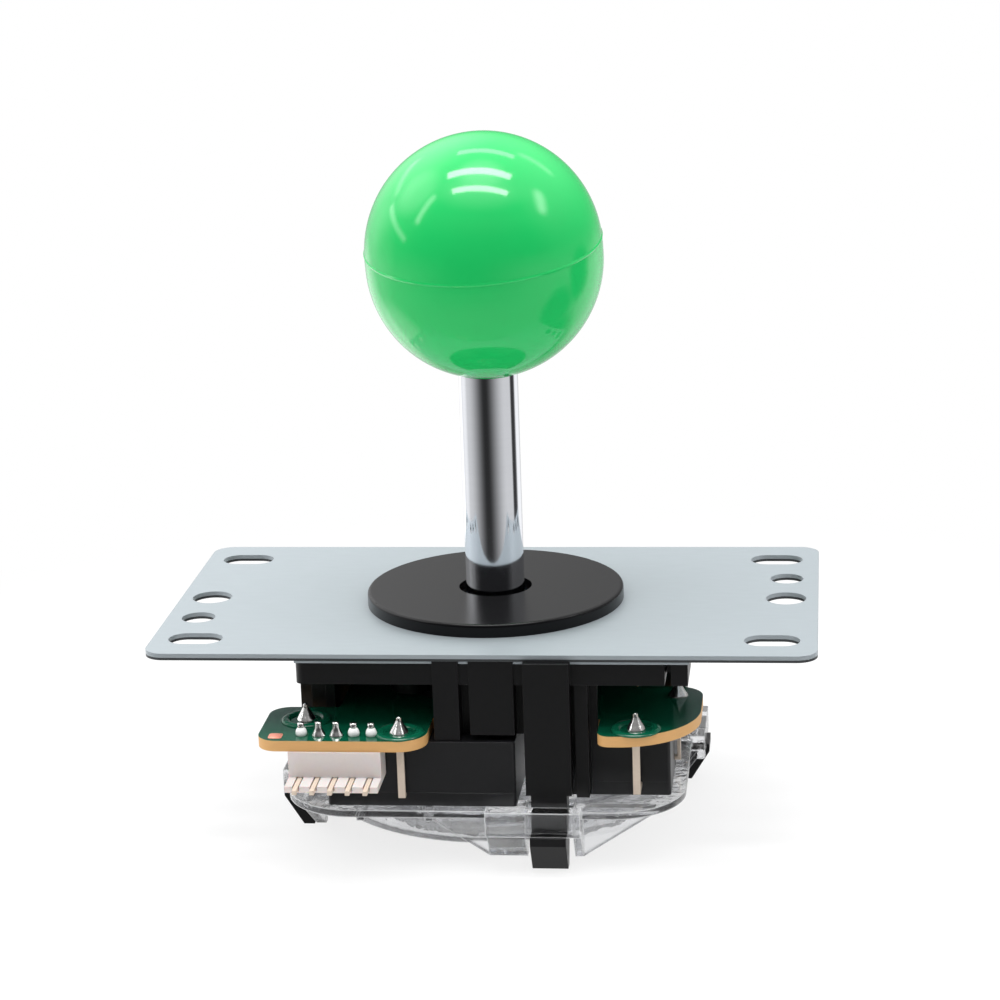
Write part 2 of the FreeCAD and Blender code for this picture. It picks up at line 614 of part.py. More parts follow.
def make_plate_screws():
    """Four countersunk screws that hold the housing under the plate."""
    screws = []
    top = -mm.screw_recess
    head = mm.screw_head / 2
    shank = mm.screw_shank / 2
    for x in (-mm.screw_spread, mm.screw_spread):
        for y in (-mm.screw_spread, mm.screw_spread):
            screw = Piece("plate_screw", kept=False)
            half = screw.sketch("XZ_Plane")
            point = top - mm.screw_length
            outline(half, [
                (0, top),
                (head, top),
                (shank, top - mm.screw_head_height),
                (shank, point + shank),
                (0, point),
            ])
            screw.turned(half)
            cross = screw.sketch("XY_Plane", top)
            arm = mm.screw_head / 2 - mm.screw_drive
            bar = mm.screw_drive / 2
            outline(cross, [
                (-arm, -bar), (-bar, -bar), (-bar, -arm), (bar, -arm), (bar, -bar), (arm, -bar),
                (arm, bar), (bar, bar), (bar, arm), (-bar, arm), (-bar, bar), (-arm, bar),
            ])
            screw.pocket(cross, mm.screw_drive)
            screw.move(x, y)
            screws.append(screw.body)
    group("plate_screws", screws)


def make_dust_washer():
    """Loose black disc that keeps dust out of the pivot."""
    washer = Piece("dust_washer")
    half = washer.sketch("XZ_Plane")
    bore = mm.washer_bore / 2
    rim = mm.washer_outer / 2
    top = mm.washer_thickness
    turn = mm.washer_round
    outline(half, [
        (bore, 0),
        (rim, 0),
        (Near(rim.number), top - turn, Arc(rim - turn, top - turn, turn)),
        (rim - turn, Near(top.number)),
        (bore, top),
    ])
    washer.turned(half)


def sphere_edge(radius, level):
    """A point of a sphere about the pivot at a level, left for the sketch to solve."""
    drop = (level - PIVOT).number
    return Near(math.sqrt(as_size(radius).number ** 2 - drop ** 2)), level


def turned_point(x, y, side):
    """A point of the front side, carried to another side."""
    return [(x, y), (-y, x), (-x, -y), (y, -x)][side]


def make_ball_top():
    """Glossy moulded ball: two round halves on a short band, with a tilted parting line."""
    ball = Piece("ball_top")
    half = ball.sketch("XZ_Plane")
    turn = math.radians(mm.ball_tilt_turn.number)
    axis = Vector(math.cos(turn), 0, math.sin(turn))
    half.AttachmentOffset = Placement(Vector(0, 0, 0), Rotation(axis, mm.ball_tilt.number))
    bind(half, "AttachmentOffset.Base.y", mm.ball_centre)
    bind(half, "AttachmentOffset.Rotation.Angle", mm.ball_tilt)
    radius = mm.ball_diameter / 2
    band = mm.ball_band / 2
    seam = mm.ball_seam
    rise = mm.seam_rise
    outline(half, [
        (0, Near((-band - radius).number), Arc(0, -band, radius)),
        (Near(radius.number), -band),
        (Near(radius.number), band, Arc(0, band, radius)),
        (Near(radius.number), rise - 2 * seam),
        (radius + seam / 2, rise),
        (Near(radius.number), rise + 2 * seam, Arc(0, band, radius)),
        (0, Near((band + radius).number)),
    ])
    ball.turned(half)
    well = ball.sketch("XZ_Plane")
    flat = mm.ball_flat / 2
    hole = mm.insert_outer / 2 + mm.running_gap
    below = BALL_SEAT - mm.ball_flat / 2
    top = BALL_SEAT + mm.insert_length + mm.running_gap
    outline(well, [(0, below), (flat, below), (flat, BALL_SEAT), (hole, BALL_SEAT), (hole, top), (0, top)])
    ball.groove(well)


def make_ball_insert():
    """Threaded metal insert in the ball, closed at its top."""
    insert = Piece("ball_insert")
    half = insert.sketch("XZ_Plane")
    bore = mm.stud_diameter / 2 + mm.running_gap
    outer = mm.insert_outer / 2
    neck = outer - mm.insert_groove
    top = BALL_SEAT + mm.insert_length
    lower_groove = BALL_SEAT + mm.insert_rim
    upper_groove = top - mm.insert_rim
    roof = BALL_SEAT + mm.stud_length + mm.running_gap
    outline(half, [
        (bore, BALL_SEAT),
        (outer, BALL_SEAT),
        (outer, lower_groove),
        (neck, lower_groove),
        (neck, lower_groove + mm.insert_groove_width),
        (outer, lower_groove + mm.insert_groove_width),
        (outer, upper_groove - mm.insert_groove_width),
        (neck, upper_groove - mm.insert_groove_width),
        (neck, upper_groove),
        (outer, upper_groove),
        (outer, top),
        (0, top),
        (0, roof),
        (bore, roof),
    ])
    insert.turned(half)


def make_shaft():
    """Turned and chromed shaft: stud, handle length, spindle and clip groove."""
    shaft = Piece("shaft")
    half = shaft.sketch("XZ_Plane")
    stud = mm.stud_diameter / 2
    wide = mm.shaft_diameter / 2
    spindle = mm.spindle_diameter / 2
    groove = mm.clip_groove / 2
    bevel = mm.shaft_chamfer
    end = -mm.spindle_end
    top = BALL_SEAT + mm.stud_length
    shoulder = BUSH_TOP + mm.clip_play
    outline(half, [
        (0, end),
        (spindle - bevel, end),
        (spindle, end + bevel),
        (spindle, CLIP_BOTTOM - mm.clip_play),
        (groove, CLIP_BOTTOM - mm.clip_play),
        (groove, CLIP_TOP + mm.clip_play),
        (spindle, CLIP_TOP + mm.clip_play),
        (spindle, shoulder),
        (wide, shoulder),
        (wide, BALL_SEAT - bevel),
        (wide - bevel, BALL_SEAT),
        (stud, BALL_SEAT),
        (stud, top - bevel),
        (stud - bevel, top),
        (0, top),
    ])
    shaft.turned(half)
    cut = shaft.sketch("XY_Plane", end + mm.shaft_slot_depth)
    rectangle(cut, -mm.spindle_diameter, -mm.shaft_slot / 2, mm.spindle_diameter, mm.shaft_slot / 2)
    shaft.pocket(cut, 2 * mm.shaft_slot_depth)


def make_e_clip():
    """Spring-steel retaining clip in the groove under the actuator."""
    clip = Piece("e_clip")
    ring = clip.sketch("XY_Plane", CLIP_BOTTOM)
    bore = mm.clip_groove + 2 * mm.running_gap
    circle(ring, 0, 0, mm.clip_outer)
    circle(ring, 0, 0, bore)
    clip.pad(ring, mm.clip_thickness)
    mouth = clip.sketch("XY_Plane", CLIP_TOP)
    half = mm.clip_mouth / 2
    rectangle(mouth, -half, -mm.clip_outer, half, 0)
    clip.pocket(mouth, mm.clip_thickness)
    for side in (-1, 1):
        relief = clip.sketch("XY_Plane", CLIP_TOP)
        circle(relief, side * bore / 2, mm.clip_relief_place, mm.clip_relief)
        clip.pocket(relief, mm.clip_thickness)


def make_pivot():
    """Ball-shaped bush on the shaft and the thin liner that it tilts in."""
    bush = Piece("pivot_bush")
    half = bush.sketch("XZ_Plane")
    bore = SPINDLE_BORE / 2
    ball = mm.ball_joint / 2
    bottom = PIVOT - mm.bush_bottom
    outline(half, [
        (bore, bottom),
        (*sphere_edge(ball, bottom), Arc(0, PIVOT, ball)),
        sphere_edge(ball, BUSH_TOP),
        (bore, BUSH_TOP),
    ])
    bush.turned(half)
    liner = Piece("pivot_liner")
    half = liner.sketch("XZ_Plane")
    low = PIVOT - mm.liner_bottom
    high = PIVOT - mm.liner_top
    outline(half, [
        sphere_edge(LINER_INNER, low),
        (*sphere_edge(LINER_OUTER, low), Arc(0, PIVOT, LINER_OUTER)),
        sphere_edge(LINER_OUTER, high),
        (*sphere_edge(LINER_INNER, high), Arc(0, PIVOT, LINER_INNER, turn=-1)),
    ])
    liner.turned(half)


def make_spring_parts():
    """Collar under the housing, return spring and the actuator that the spring sits in."""
    collar = Piece("spring_collar")
    half = collar.sketch("XZ_Plane")
    bore = SPINDLE_BORE / 2
    flange = mm.collar_flange / 2
    sleeve = mm.collar_sleeve / 2
    foot = COLLAR_BOTTOM - mm.collar_sleeve_length
    outline(half, [
        (bore, foot),
        (sleeve, foot),
        (sleeve, COLLAR_BOTTOM),
        (flange, COLLAR_BOTTOM),
        (flange, COLLAR_TOP),
        (bore, COLLAR_TOP),
    ])
    collar.turned(half)

    actuator = Piece("actuator")
    half = actuator.sketch("XZ_Plane")
    outer = mm.actuator_diameter / 2
    neck = mm.actuator_neck / 2
    cup = mm.actuator_cup / 2
    edge = mm.actuator_edge
    rim = -mm.actuator_top
    shoulder = -mm.actuator_shoulder
    bottom = -mm.actuator_bottom
    outline(half, [
        (bore, bottom),
        (neck - edge, bottom),
        (neck, bottom + edge),
        (neck, shoulder),
        (outer - edge, shoulder),
        (outer, shoulder + edge),
        (outer, rim - edge),
        (outer - edge, rim),
        (cup, rim),
        (cup, CUP_FLOOR),
        (bore, CUP_FLOOR),
    ])
    actuator.turned(half)

    spring = Piece("return_spring")
    wire = spring.sketch("XZ_Plane")
    first = CUP_FLOOR + mm.spring_play + mm.spring_wire / 2
    last = COLLAR_BOTTOM - mm.spring_play - mm.spring_wire / 2
    circle(wire, mm.spring_mean / 2, first, mm.spring_wire)
    rise = last - first
    spring.feature(
        "AdditiveHelix",
        Profile=wire,
        ReferenceAxis=(wire, ["V_Axis"]),
        Mode="pitch-height-angle",
        Pitch=rise / mm.spring_turns,
        Height=rise,
    )


def make_housing():
    """Moulded housing: flange, socket hub, ring wall, hold-down posts and snap arms."""
    housing = Piece("housing")
    front = -mm.flange_half_width
    lug_left = mm.flange_right + mm.lug_gap
    lug_right = lug_left + mm.lug_width
    flange = housing.sketch("XY_Plane", FLANGE_BOTTOM)
    outline(flange, [
        (-mm.flange_left, front),
        (mm.flange_right, front),
        (mm.flange_right, front + mm.lug_slot_length),
        (lug_left, front + mm.lug_slot_length),
        (lug_left, front),
        (lug_right, front),
        (lug_right, front + mm.lug_length),
        (mm.flange_right, front + mm.lug_length),
        (mm.flange_right, mm.flange_half_width),
        (-mm.flange_left, mm.flange_half_width),
    ])
    housing.pad(flange, mm.flange_thickness)
    housing.round_edges([
        (-mm.flange_left, front),
        (-mm.flange_left, mm.flange_half_width),
        (mm.flange_right, mm.flange_half_width),
    ], mm.flange_corner)

    hub = housing.sketch("XY_Plane", HUB_BOTTOM)
    circle(hub, 0, 0, mm.hub_diameter)
    housing.pad(hub, HOUSING_TOP - HUB_BOTTOM)
    tower = housing.sketch("XY_Plane", BOARD_TOP)
    circle(tower, 0, 0, mm.tower_outer)
    circle(tower, 0, 0, mm.tower_outer - 2 * mm.tower_wall)
    housing.pad(tower, FLANGE_BOTTOM - BOARD_TOP)
    boss = housing.sketch("XY_Plane", HUB_BOTTOM)
    circle(boss, mm.screw_spread, mm.screw_spread, mm.boss_diameter)
    boss_pad = housing.pad(boss, FLANGE_BOTTOM - HUB_BOTTOM)
    rib = housing.sketch("XY_Plane", FLANGE_BOTTOM - mm.rib_height)
    thin = mm.rib_thickness / 2
    outline(rib, [
        (-thin, -mm.side_root),
        (thin, -mm.side_root),
        (thin, -mm.rib_root),
        (-thin, -mm.rib_root),
    ])
    rib_pad = housing.pad(rib, mm.rib_height)
    repeated = [boss_pad, rib_pad] + side_uprights(housing)
    housing.around(repeated)

    socket = housing.sketch("XZ_Plane")
    bore = mm.socket_bore / 2
    lip = PIVOT.number - math.sqrt(SOCKET.number ** 2 - bore.number ** 2)
    outline(socket, [
        (0, HUB_BOTTOM),
        (bore, HUB_BOTTOM),
        (bore, Near(lip), Arc(0, PIVOT, SOCKET)),
        sphere_edge(SOCKET, HOUSING_TOP),
        (0, HOUSING_TOP),
    ])
    housing.groove(socket)
    pilots = housing.sketch("XY_Plane", HOUSING_TOP)
    for x in (-mm.screw_spread, mm.screw_spread):
        for y in (-mm.screw_spread, mm.screw_spread):
            circle(pilots, x, y, mm.screw_shank + 2 * mm.screw_clearance)
    housing.pocket(pilots, mm.screw_length)


def side_uprights(housing):
    """Post, centre block, guard rib, wall behind them and snap arm of the front side."""
    uprights = [
        (BOARD_BOTTOM, SHEET_TOP, -mm.post_left, -mm.post_right, mm.post_face),
        (BOARD_BOTTOM + mm.block_lift, SHEET_TOP, -mm.block_left, mm.block_right, mm.block_face),
        (SWITCH_BOTTOM + mm.guard_lift, FLANGE_BOTTOM, mm.guard_left, mm.guard_right, mm.guard_face),
        (BOARD_BOTTOM + mm.slot_play, FLANGE_BOTTOM, -mm.post_left, mm.web_right, mm.web_face),
    ]
    made = []
    for low, high, left, right, face in uprights:
        plan = housing.sketch("XY_Plane", low)
        rectangle(plan, left, -face, right, -mm.side_root)
        made.append(housing.pad(plan, high - low))
    inner = mm.arm_face - mm.arm_thickness
    plan = housing.sketch("XY_Plane", -mm.arm_shoulder)
    rectangle(plan, mm.arm_left, -mm.arm_face, mm.arm_right, -inner)
    made.append(housing.pad(plan, SHEET_TOP + mm.arm_shoulder))
    profile = housing.sketch("YZ_Plane", mm.arm_left + mm.arm_taper)
    nose = mm.arm_face + mm.hook_reach
    tip = CATCH_LEVEL - mm.hook_drop
    tip_outer = mm.arm_face + mm.hook_tip_outer
    outline(profile, [
        (-inner, -mm.arm_shoulder),
        (-mm.arm_face, -mm.arm_shoulder),
        (-mm.arm_face, CATCH_LEVEL),
        (-nose, CATCH_LEVEL),
        (-nose, CATCH_LEVEL - mm.hook_land),
        (-tip_outer, tip),
        (-tip_outer + mm.hook_tip_width, tip),
        (-inner, CATCH_LEVEL - mm.hook_land),
    ])
    made.append(housing.pad(profile, mm.arm_right - mm.arm_left - 2 * mm.arm_taper))
    return made


def make_circuit_board():
    """Board with four lobes, notched for the uprights, one lobe larger for the connector."""
    board = Piece("circuit_board")
    plan = board.sketch("XY_Plane", BOARD_BOTTOM)
    reach = mm.board_reach
    short = mm.board_short_reach
    floor = mm.board_notch_floor
    left = mm.board_notch_left
    right = mm.board_notch_right
    corners = [(-reach, -reach)]
    for side in range(COUNTS.sides):
        points = [(-left, -reach), (-left, -floor), (right, -floor), (right, -short), (reach, -short)]
        corners += [turned_point(x, y, side) for x, y in points]
    corners[-2:] = [(-reach, -right)]
    outline(plan, corners)
    circle(plan, 0, 0, mm.board_hole)
    for side in range(COUNTS.sides):
        for x, y in terminal_places():
            circle(plan, *turned_point(x, y, side), mm.terminal_hole)
    for x in pin_places():
        circle(plan, x, -mm.pin_row, mm.pin_hole)
    board.pad(plan, mm.board_thickness)
    board.round_edges([turned_point(reach, -short, side) for side in range(3)], mm.board_big_corner)
    lobes = [turned_point(-left, -reach, side) for side in range(COUNTS.sides)]
    board.round_edges(lobes, mm.board_lobe_corner)
    board.round_edges([(-reach, -reach), (-reach, -right)], mm.board_small_corner)
    board.round_edges([turned_point(right, -short, side) for side in range(3)], mm.board_tip_corner)


def terminal_places():
    """Where the front switch's two terminals cross the board."""
    return [
        (-mm.side_terminal_place, -mm.side_terminal_line),
        (-mm.end_terminal_line, -mm.end_terminal_place),
    ]


def pin_places():
    """Connector pins along X."""
    middle = (COUNTS.pins - 1) / 2
    return [(index - middle) * mm.pin_spacing - mm.connector_centre for index in range(COUNTS.pins)]


def make_connector():
    """White header under the board: body, pin ledge and five bent pins."""
    header = Piece("connector_housing")
    left = -mm.connector_centre - mm.connector_width / 2
    right = left + mm.connector_width
    ledge_top = BOARD_BOTTOM - mm.connector_height
    ledge = header.sketch("XY_Plane", ledge_top - mm.ledge_thickness)
    rectangle(ledge, left, -mm.ledge_reach, right, -mm.connector_back)
    header.pad(ledge, mm.ledge_thickness)
    grooves = header.sketch("XY_Plane", ledge_top)
    channel_end = mm.pin_row - mm.groove_width / 2
    for x in pin_places():
        half = mm.groove_width / 2
        rectangle(grooves, x - half, -mm.ledge_reach, x + half, -channel_end)
    header.pocket(grooves, mm.groove_depth)
    body = header.sketch("XY_Plane", ledge_top)
    rectangle(body, left, -mm.connector_face, right, -mm.connector_back)
    header.pad(body, mm.connector_height)
    channels = header.sketch("XY_Plane", BOARD_BOTTOM)
    for x in pin_places():
        half = mm.groove_width / 2
        rectangle(channels, x - half, -mm.pin_row - half, x + half, -mm.pin_row + half)
    header.pocket(channels, mm.connector_height)

    pins = []
    half = mm.pin_width / 2
    seat = ledge_top - mm.groove_depth
    for x in pin_places():
        pin = Piece("connector_pin", kept=False)
        bend = pin.sketch("YZ_Plane", -half)
        tip = -mm.ledge_reach - mm.pin_point
        tail = BOARD_TOP + mm.pin_tail
        outline(bend, [
            (tip, seat),
            (half - mm.pin_row, seat),
            (half - mm.pin_row, tail),
            (-half - mm.pin_row, tail),
            (-half - mm.pin_row, seat + mm.pin_width),
            (tip, seat + mm.pin_width),
        ])
        pin.pad(bend, mm.pin_width)
        pin.move(x)
        pins.append(pin.body)
    group("connector_pins", pins)


def hole_places():
    """The front switch's two mounting holes, set diagonally."""
    middle = (mm.switch_right - mm.switch_left) / 2
    outer = mm.switch_hole_margin - mm.switch_outer
    half = mm.switch_hole_pitch_x / 2
    return [(middle + half, outer), (middle - half, outer + mm.switch_hole_pitch_y)]


def switch_block(piece, low, height):
    """The outline that a switch's case and cover share, with its mounting holes."""
    plan = piece.sketch("XY_Plane", low)
    left = -mm.switch_left
    rectangle(plan, left, -mm.switch_outer, mm.switch_right, -mm.switch_inner)
    for x, y in hole_places():
        circle(plan, x, y, mm.switch_hole)
    piece.pad(plan, height)
    corners = [(x, y) for x in (left, mm.switch_right) for y in (-mm.switch_outer, -mm.switch_inner)]
    piece.round_edges(corners, mm.switch_edge)


def make_switch(side):
    """One microswitch with its plunger, two terminals and contact blade."""
    name = f"{SIDE_NAMES[side]}_switch"
    case = Piece(f"{name}_case")
    switch_block(case, PARTING, BOARD_BOTTOM - PARTING)
    roof = BOARD_BOTTOM - mm.switch_roof
    cavity = case.sketch("XY_Plane", roof)
    outline(cavity, [
        (-mm.cavity_left, -mm.cavity_outer),
        (-mm.cavity_step_x, -mm.cavity_outer),
        (-mm.cavity_step_x, -mm.cavity_step_y),
        (mm.cavity_right, -mm.cavity_step_y),
        (mm.cavity_right, -mm.cavity_inner),
        (-mm.cavity_left, -mm.cavity_inner),
    ])
    case.pocket(cavity, roof - PARTING)
    port = case.sketch("XZ_Plane", mm.cavity_inner)
    circle(port, 0, PLUNGER_LEVEL, mm.plunger_diameter + 2 * mm.running_gap)
    case.pocket(port, mm.cavity_inner - mm.switch_inner)

    cover = Piece(f"{name}_cover")
    switch_block(cover, SWITCH_BOTTOM, mm.cover_thickness)
    beds = cover.sketch("XY_Plane", PARTING)
    half = mm.side_terminal_width / 2 + mm.slot_play
    contact = BLADE_BACK + mm.contact_gap - mm.slot_play
    place = mm.side_terminal_place
    rectangle(beds, -place - half, -mm.switch_outer, -place + half, -contact)
    half = mm.end_terminal_width / 2 + mm.slot_play
    place = mm.end_terminal_place
    rectangle(beds, -mm.switch_left, -place - half, mm.slot_play - mm.end_contact, -place + half)
    cover.pocket(beds, mm.terminal_thickness)

    plunger = Piece(f"{name}_plunger")
    half = plunger.sketch("YZ_Plane")
    bind(half, "AttachmentOffset.Base.y", PLUNGER_LEVEL)
    radius = mm.plunger_diameter / 2
    stop = mm.cavity_inner + mm.plunger_play
    back = stop + mm.plunger_stop_length
    end = back + mm.plunger_nub
    outline(half, [
        (-mm.plunger_tip, 0),
        (-mm.plunger_tip, radius - mm.plunger_dome),
        (-mm.plunger_tip - mm.plunger_dome, radius),
        (-stop, radius),
        (-stop, mm.plunger_shoulder / 2),
        (-back, mm.plunger_shoulder / 2),
        (-back, radius - mm.plunger_dome),
        (-end, radius - mm.plunger_dome),
        (-end, 0),
    ])
    plunger.feature("Revolution", Profile=half, ReferenceAxis=(half, ["H_Axis"]))

    side_terminal = Piece(f"{name}_side_terminal")
    profile = side_terminal.sketch("YZ_Plane", -mm.side_terminal_place - mm.side_terminal_width / 2)
    outline(profile, terminal_profile(BLADE_BACK + mm.contact_gap, mm.side_terminal_line))
    side_terminal.pad(profile, mm.side_terminal_width)
    wide = mm.tail_width / 2
    thin = mm.terminal_thickness / 2
    tail_height = BOARD_TOP + mm.terminal_tail - BOARD_BOTTOM
    tail = side_terminal.sketch("XY_Plane", BOARD_BOTTOM)
    x, y = terminal_places()[0]
    rectangle(tail, x - wide, y - thin, x + wide, y + thin)
    side_terminal.pad(tail, tail_height)
    end_terminal = Piece(f"{name}_end_terminal")
    profile = end_terminal.sketch("XZ_Plane", mm.end_terminal_place - mm.end_terminal_width / 2)
    outline(profile, terminal_profile(mm.end_contact, mm.end_terminal_line))
    end_terminal.pad(profile, mm.end_terminal_width)
    tail = end_terminal.sketch("XY_Plane", BOARD_BOTTOM)
    x, y = terminal_places()[1]
    rectangle(tail, x - thin, y - wide, x + thin, y + wide)
    end_terminal.pad(tail, tail_height)

    blade = Piece(f"{name}_contact_blade")
    plan = blade.sketch("XY_Plane", PLUNGER_LEVEL - mm.blade_width / 2)
    foot = mm.end_terminal_place + mm.end_terminal_width / 2
    inner = mm.end_contact - mm.blade_thickness
    outline(plan, [
        (-mm.end_contact, -foot),
        (-inner, -foot),
        (-inner, -BLADE_BACK),
        (mm.blade_tip, -BLADE_BACK),
        (mm.blade_tip, -BLADE_LINE),
        (-mm.end_contact, -BLADE_LINE),
    ])
    blade.pad(plan, mm.blade_width)
    for piece in (case, cover, plunger, side_terminal, end_terminal, blade):
        piece.move(side=side)


def terminal_profile(contact, line):
    """A terminal strip: contact inside the case, bed in the cover, leg up to the board."""
    thick = mm.terminal_thickness
    far = line + thick / 2
    top = BOARD_BOTTOM
    return [
        (-contact, PARTING - thick),
        (-contact, PARTING + mm.contact_rise),
        (-contact - thick, PARTING + mm.contact_rise),
        (-contact - thick, PARTING),
        (thick - far, PARTING),
        (thick - far, top),
        (-far, top),
        (-far, PARTING - thick),
    ]


def make_gate_frame():
    """Clear frame that the snap arms hold against the switches."""
    frame = Piece("gate_frame")
    half = mm.gate_half
    plate = frame.sketch("XY_Plane", GATE_BOTTOM)
    rectangle(plate, -half, -half, half, half)
    circle(plate, 0, 0, mm.gate_opening)
    frame.pad(plate, mm.gate_plate)
    frame.round_edges([(x, y) for x in (-half, half) for y in (-half, half)], mm.gate_corner)
    ring = frame.sketch("XZ_Plane")
    outer = mm.collar_outer / 2
    inner = outer - mm.collar_wall
    bottom = GATE_BOTTOM - mm.collar_drop
    lip_top = GATE_BOTTOM - 2 * mm.restrictor_seat - mm.restrictor_flange_thickness
    outline(ring, [
        (inner - mm.collar_lip, bottom),
        (outer, bottom),
        (outer, GATE_BOTTOM),
        (inner, GATE_BOTTOM),
        (inner, lip_top),
        (inner - mm.collar_lip, lip_top),
    ])
    frame.turned(ring)

    window = frame.sketch("XY_Plane", SWITCH_BOTTOM)
    window_left = mm.arm_left - mm.loop_gap
    window_right = mm.arm_right + mm.loop_gap
    loop_left = window_left - mm.loop_left_wall
    loop_right = window_right + mm.loop_right_wall
    arm_inner = mm.arm_face - mm.arm_thickness
    rectangle(
        window,
        window_left,
        -mm.gate_half - mm.window_gap,
        window_right,
        mm.window_gap - arm_inner,
    )
    cut = frame.pocket(window, mm.gate_plate + mm.collar_drop)
    windows = frame.around([cut])

    features = []
    for left, thickness in ((loop_left, mm.loop_left_wall), (window_right, mm.loop_right_wall)):
        wall = frame.sketch("YZ_Plane", left)
        chin = -mm.loop_chin
        outline(wall, [
            (-mm.loop_root, SWITCH_BOTTOM),
            (-mm.loop_outer, SWITCH_BOTTOM),
            (-mm.loop_outer, SWITCH_BOTTOM - mm.loop_cheek),
            (-mm.loop_root - mm.loop_toe, chin),
            (-mm.loop_root, chin),
        ])
        features.append(frame.pad(wall, thickness))
    gussets = frame.sketch("XZ_Plane", mm.loop_root)
    for edge, side in ((loop_left, -1), (loop_right, 1)):
        outline(gussets, [
            (edge, -mm.loop_chin),
            (edge + side * mm.loop_splay, GATE_BOTTOM),
            (edge, GATE_BOTTOM),
        ])
    features.append(frame.pad(gussets, mm.loop_toe))
    bar = frame.sketch("XY_Plane", CATCH_LEVEL)
    rectangle(bar, loop_left, -mm.loop_outer, loop_right, -mm.loop_inner)
    features.append(frame.pad(bar, mm.loop_bar_height))
    ribs = frame.sketch("XY_Plane", GATE_BOTTOM - mm.gate_rib_drop)
    wall_middle = (outer + inner) / 2
    for place in (mm.gate_rib_near, mm.gate_rib_far):
        root = math.sqrt(wall_middle.number ** 2 - place.number ** 2)
        rectangle(ribs, -place, -mm.gate_rib_end, mm.gate_rib - place, -root)
    features.append(frame.pad(ribs, mm.gate_rib_drop))
    for x, y in hole_places():
        pin = frame.sketch("XY_Plane", SWITCH_BOTTOM)
        circle(pin, x, y, mm.switch_hole - 2 * mm.gate_pin_gap)
        features.append(frame.pad(pin, mm.gate_pin_height))
    frame.around(features)


def make_gate_restrictor():
    """Clear insert with the square hole that stops the actuator's travel."""
    gate = Piece("gate_restrictor")
    half = gate.sketch("XZ_Plane")
    top = GATE_BOTTOM - mm.restrictor_seat
    step = top - mm.restrictor_flange_thickness
    bottom = top - mm.restrictor_height
    body = mm.restrictor_body / 2
    flange = mm.collar_outer / 2 - mm.collar_wall - mm.restrictor_gap
    outline(half, [
        (0, bottom),
        (body, bottom),
        (body, step),
        (flange, step),
        (flange, top),
        (body - mm.restrictor_rim, top),
        (body - mm.restrictor_rim, bottom + mm.restrictor_floor),
        (0, bottom + mm.restrictor_floor),
    ])
    gate.turned(half)
    tube = gate.sketch("XY_Plane", bottom)
    side = mm.gate_square / 2 + mm.restrictor_lip
    rectangle(tube, -side, -side, side, side)
    gate.pad(tube, mm.restrictor_height)
    hole = gate.sketch("XY_Plane", top)
    side = mm.gate_square / 2
    rectangle(hole, -side, -side, side, side)
    gate.pocket(hole, mm.restrictor_height)
    gate.round_edges([(x, y) for x in (-side, side) for y in (-side, side)], mm.gate_square_corner)


def check_document():
    """Stop if any object failed or any piece has no sound solid."""
    DOC.recompute()
    for thing in DOC.Objects:
        if "Invalid" in thing.State or "Error" in thing.State:
            raise RuntimeError(f"{thing.Label} failed: {thing.State}")
    for piece in PIECES:
        shape = piece.Shape
        if shape.isNull() or not shape.isValid() or not shape.Solids:
            raise RuntimeError(f"{piece.Label} has no valid solid")


def export_pieces():
    """Write one STEP file for each piece."""
    os.makedirs("parts", exist_ok=True)
    for piece in PIECES:
        shape = piece.Shape
        shape.exportStep(f"parts/{piece.Label}.step")
        low, high = shape.BoundBox.ZMin, shape.BoundBox.ZMax
        print(f"{piece.Label}: {len(shape.Solids)} solid, {shape.Volume:.1f} mm3, z {low:.2f} to {high:.2f}")


make_ball_top()
make_ball_insert()
make_shaft()
make_e_clip()
make_dust_washer()
make_mounting_plate()
make_backing_sheet()
make_plate_screws()
make_housing()
make_pivot()
make_spring_parts()
make_circuit_board()
make_connector()
for switch_side in range(COUNTS.sides):
    make_switch(switch_side)
make_gate_frame()
make_gate_restrictor()
check_document()
export_pieces()
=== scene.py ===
import math
import random

import bmesh
import bpy
from bpy.props import FloatProperty, FloatVectorProperty, PointerProperty
from mathutils import Matrix, Vector


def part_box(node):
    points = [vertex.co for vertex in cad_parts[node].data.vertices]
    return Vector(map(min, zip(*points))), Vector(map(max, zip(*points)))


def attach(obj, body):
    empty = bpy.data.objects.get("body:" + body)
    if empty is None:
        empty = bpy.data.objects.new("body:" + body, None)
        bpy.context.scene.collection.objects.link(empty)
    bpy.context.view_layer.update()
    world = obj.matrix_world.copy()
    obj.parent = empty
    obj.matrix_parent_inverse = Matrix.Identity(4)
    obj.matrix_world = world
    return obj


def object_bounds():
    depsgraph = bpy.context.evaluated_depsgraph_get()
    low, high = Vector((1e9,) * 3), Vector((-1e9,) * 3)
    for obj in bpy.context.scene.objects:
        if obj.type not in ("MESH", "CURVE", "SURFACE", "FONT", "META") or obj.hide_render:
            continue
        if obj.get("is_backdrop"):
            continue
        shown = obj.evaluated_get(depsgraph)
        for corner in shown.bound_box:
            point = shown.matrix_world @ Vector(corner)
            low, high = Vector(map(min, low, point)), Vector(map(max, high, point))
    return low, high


bl_info = {
    "name": "Arcade lever finishes",
    "version": (1, 0, 0),
    "blender": (4, 5, 0),
    "location": "3D View > Sidebar > Lever",
    "description": "Dresses an arcade lever's solids with their real finishes, solder and studio",
    "category": "Object",
}

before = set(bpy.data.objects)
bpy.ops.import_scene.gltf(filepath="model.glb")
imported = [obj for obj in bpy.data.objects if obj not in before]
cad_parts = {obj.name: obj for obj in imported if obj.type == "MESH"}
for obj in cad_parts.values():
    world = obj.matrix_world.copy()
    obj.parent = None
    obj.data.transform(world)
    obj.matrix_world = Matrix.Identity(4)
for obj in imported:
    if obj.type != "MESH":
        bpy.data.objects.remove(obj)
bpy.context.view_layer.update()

MM = 0.001
SIDES = ("front", "right", "back", "left")
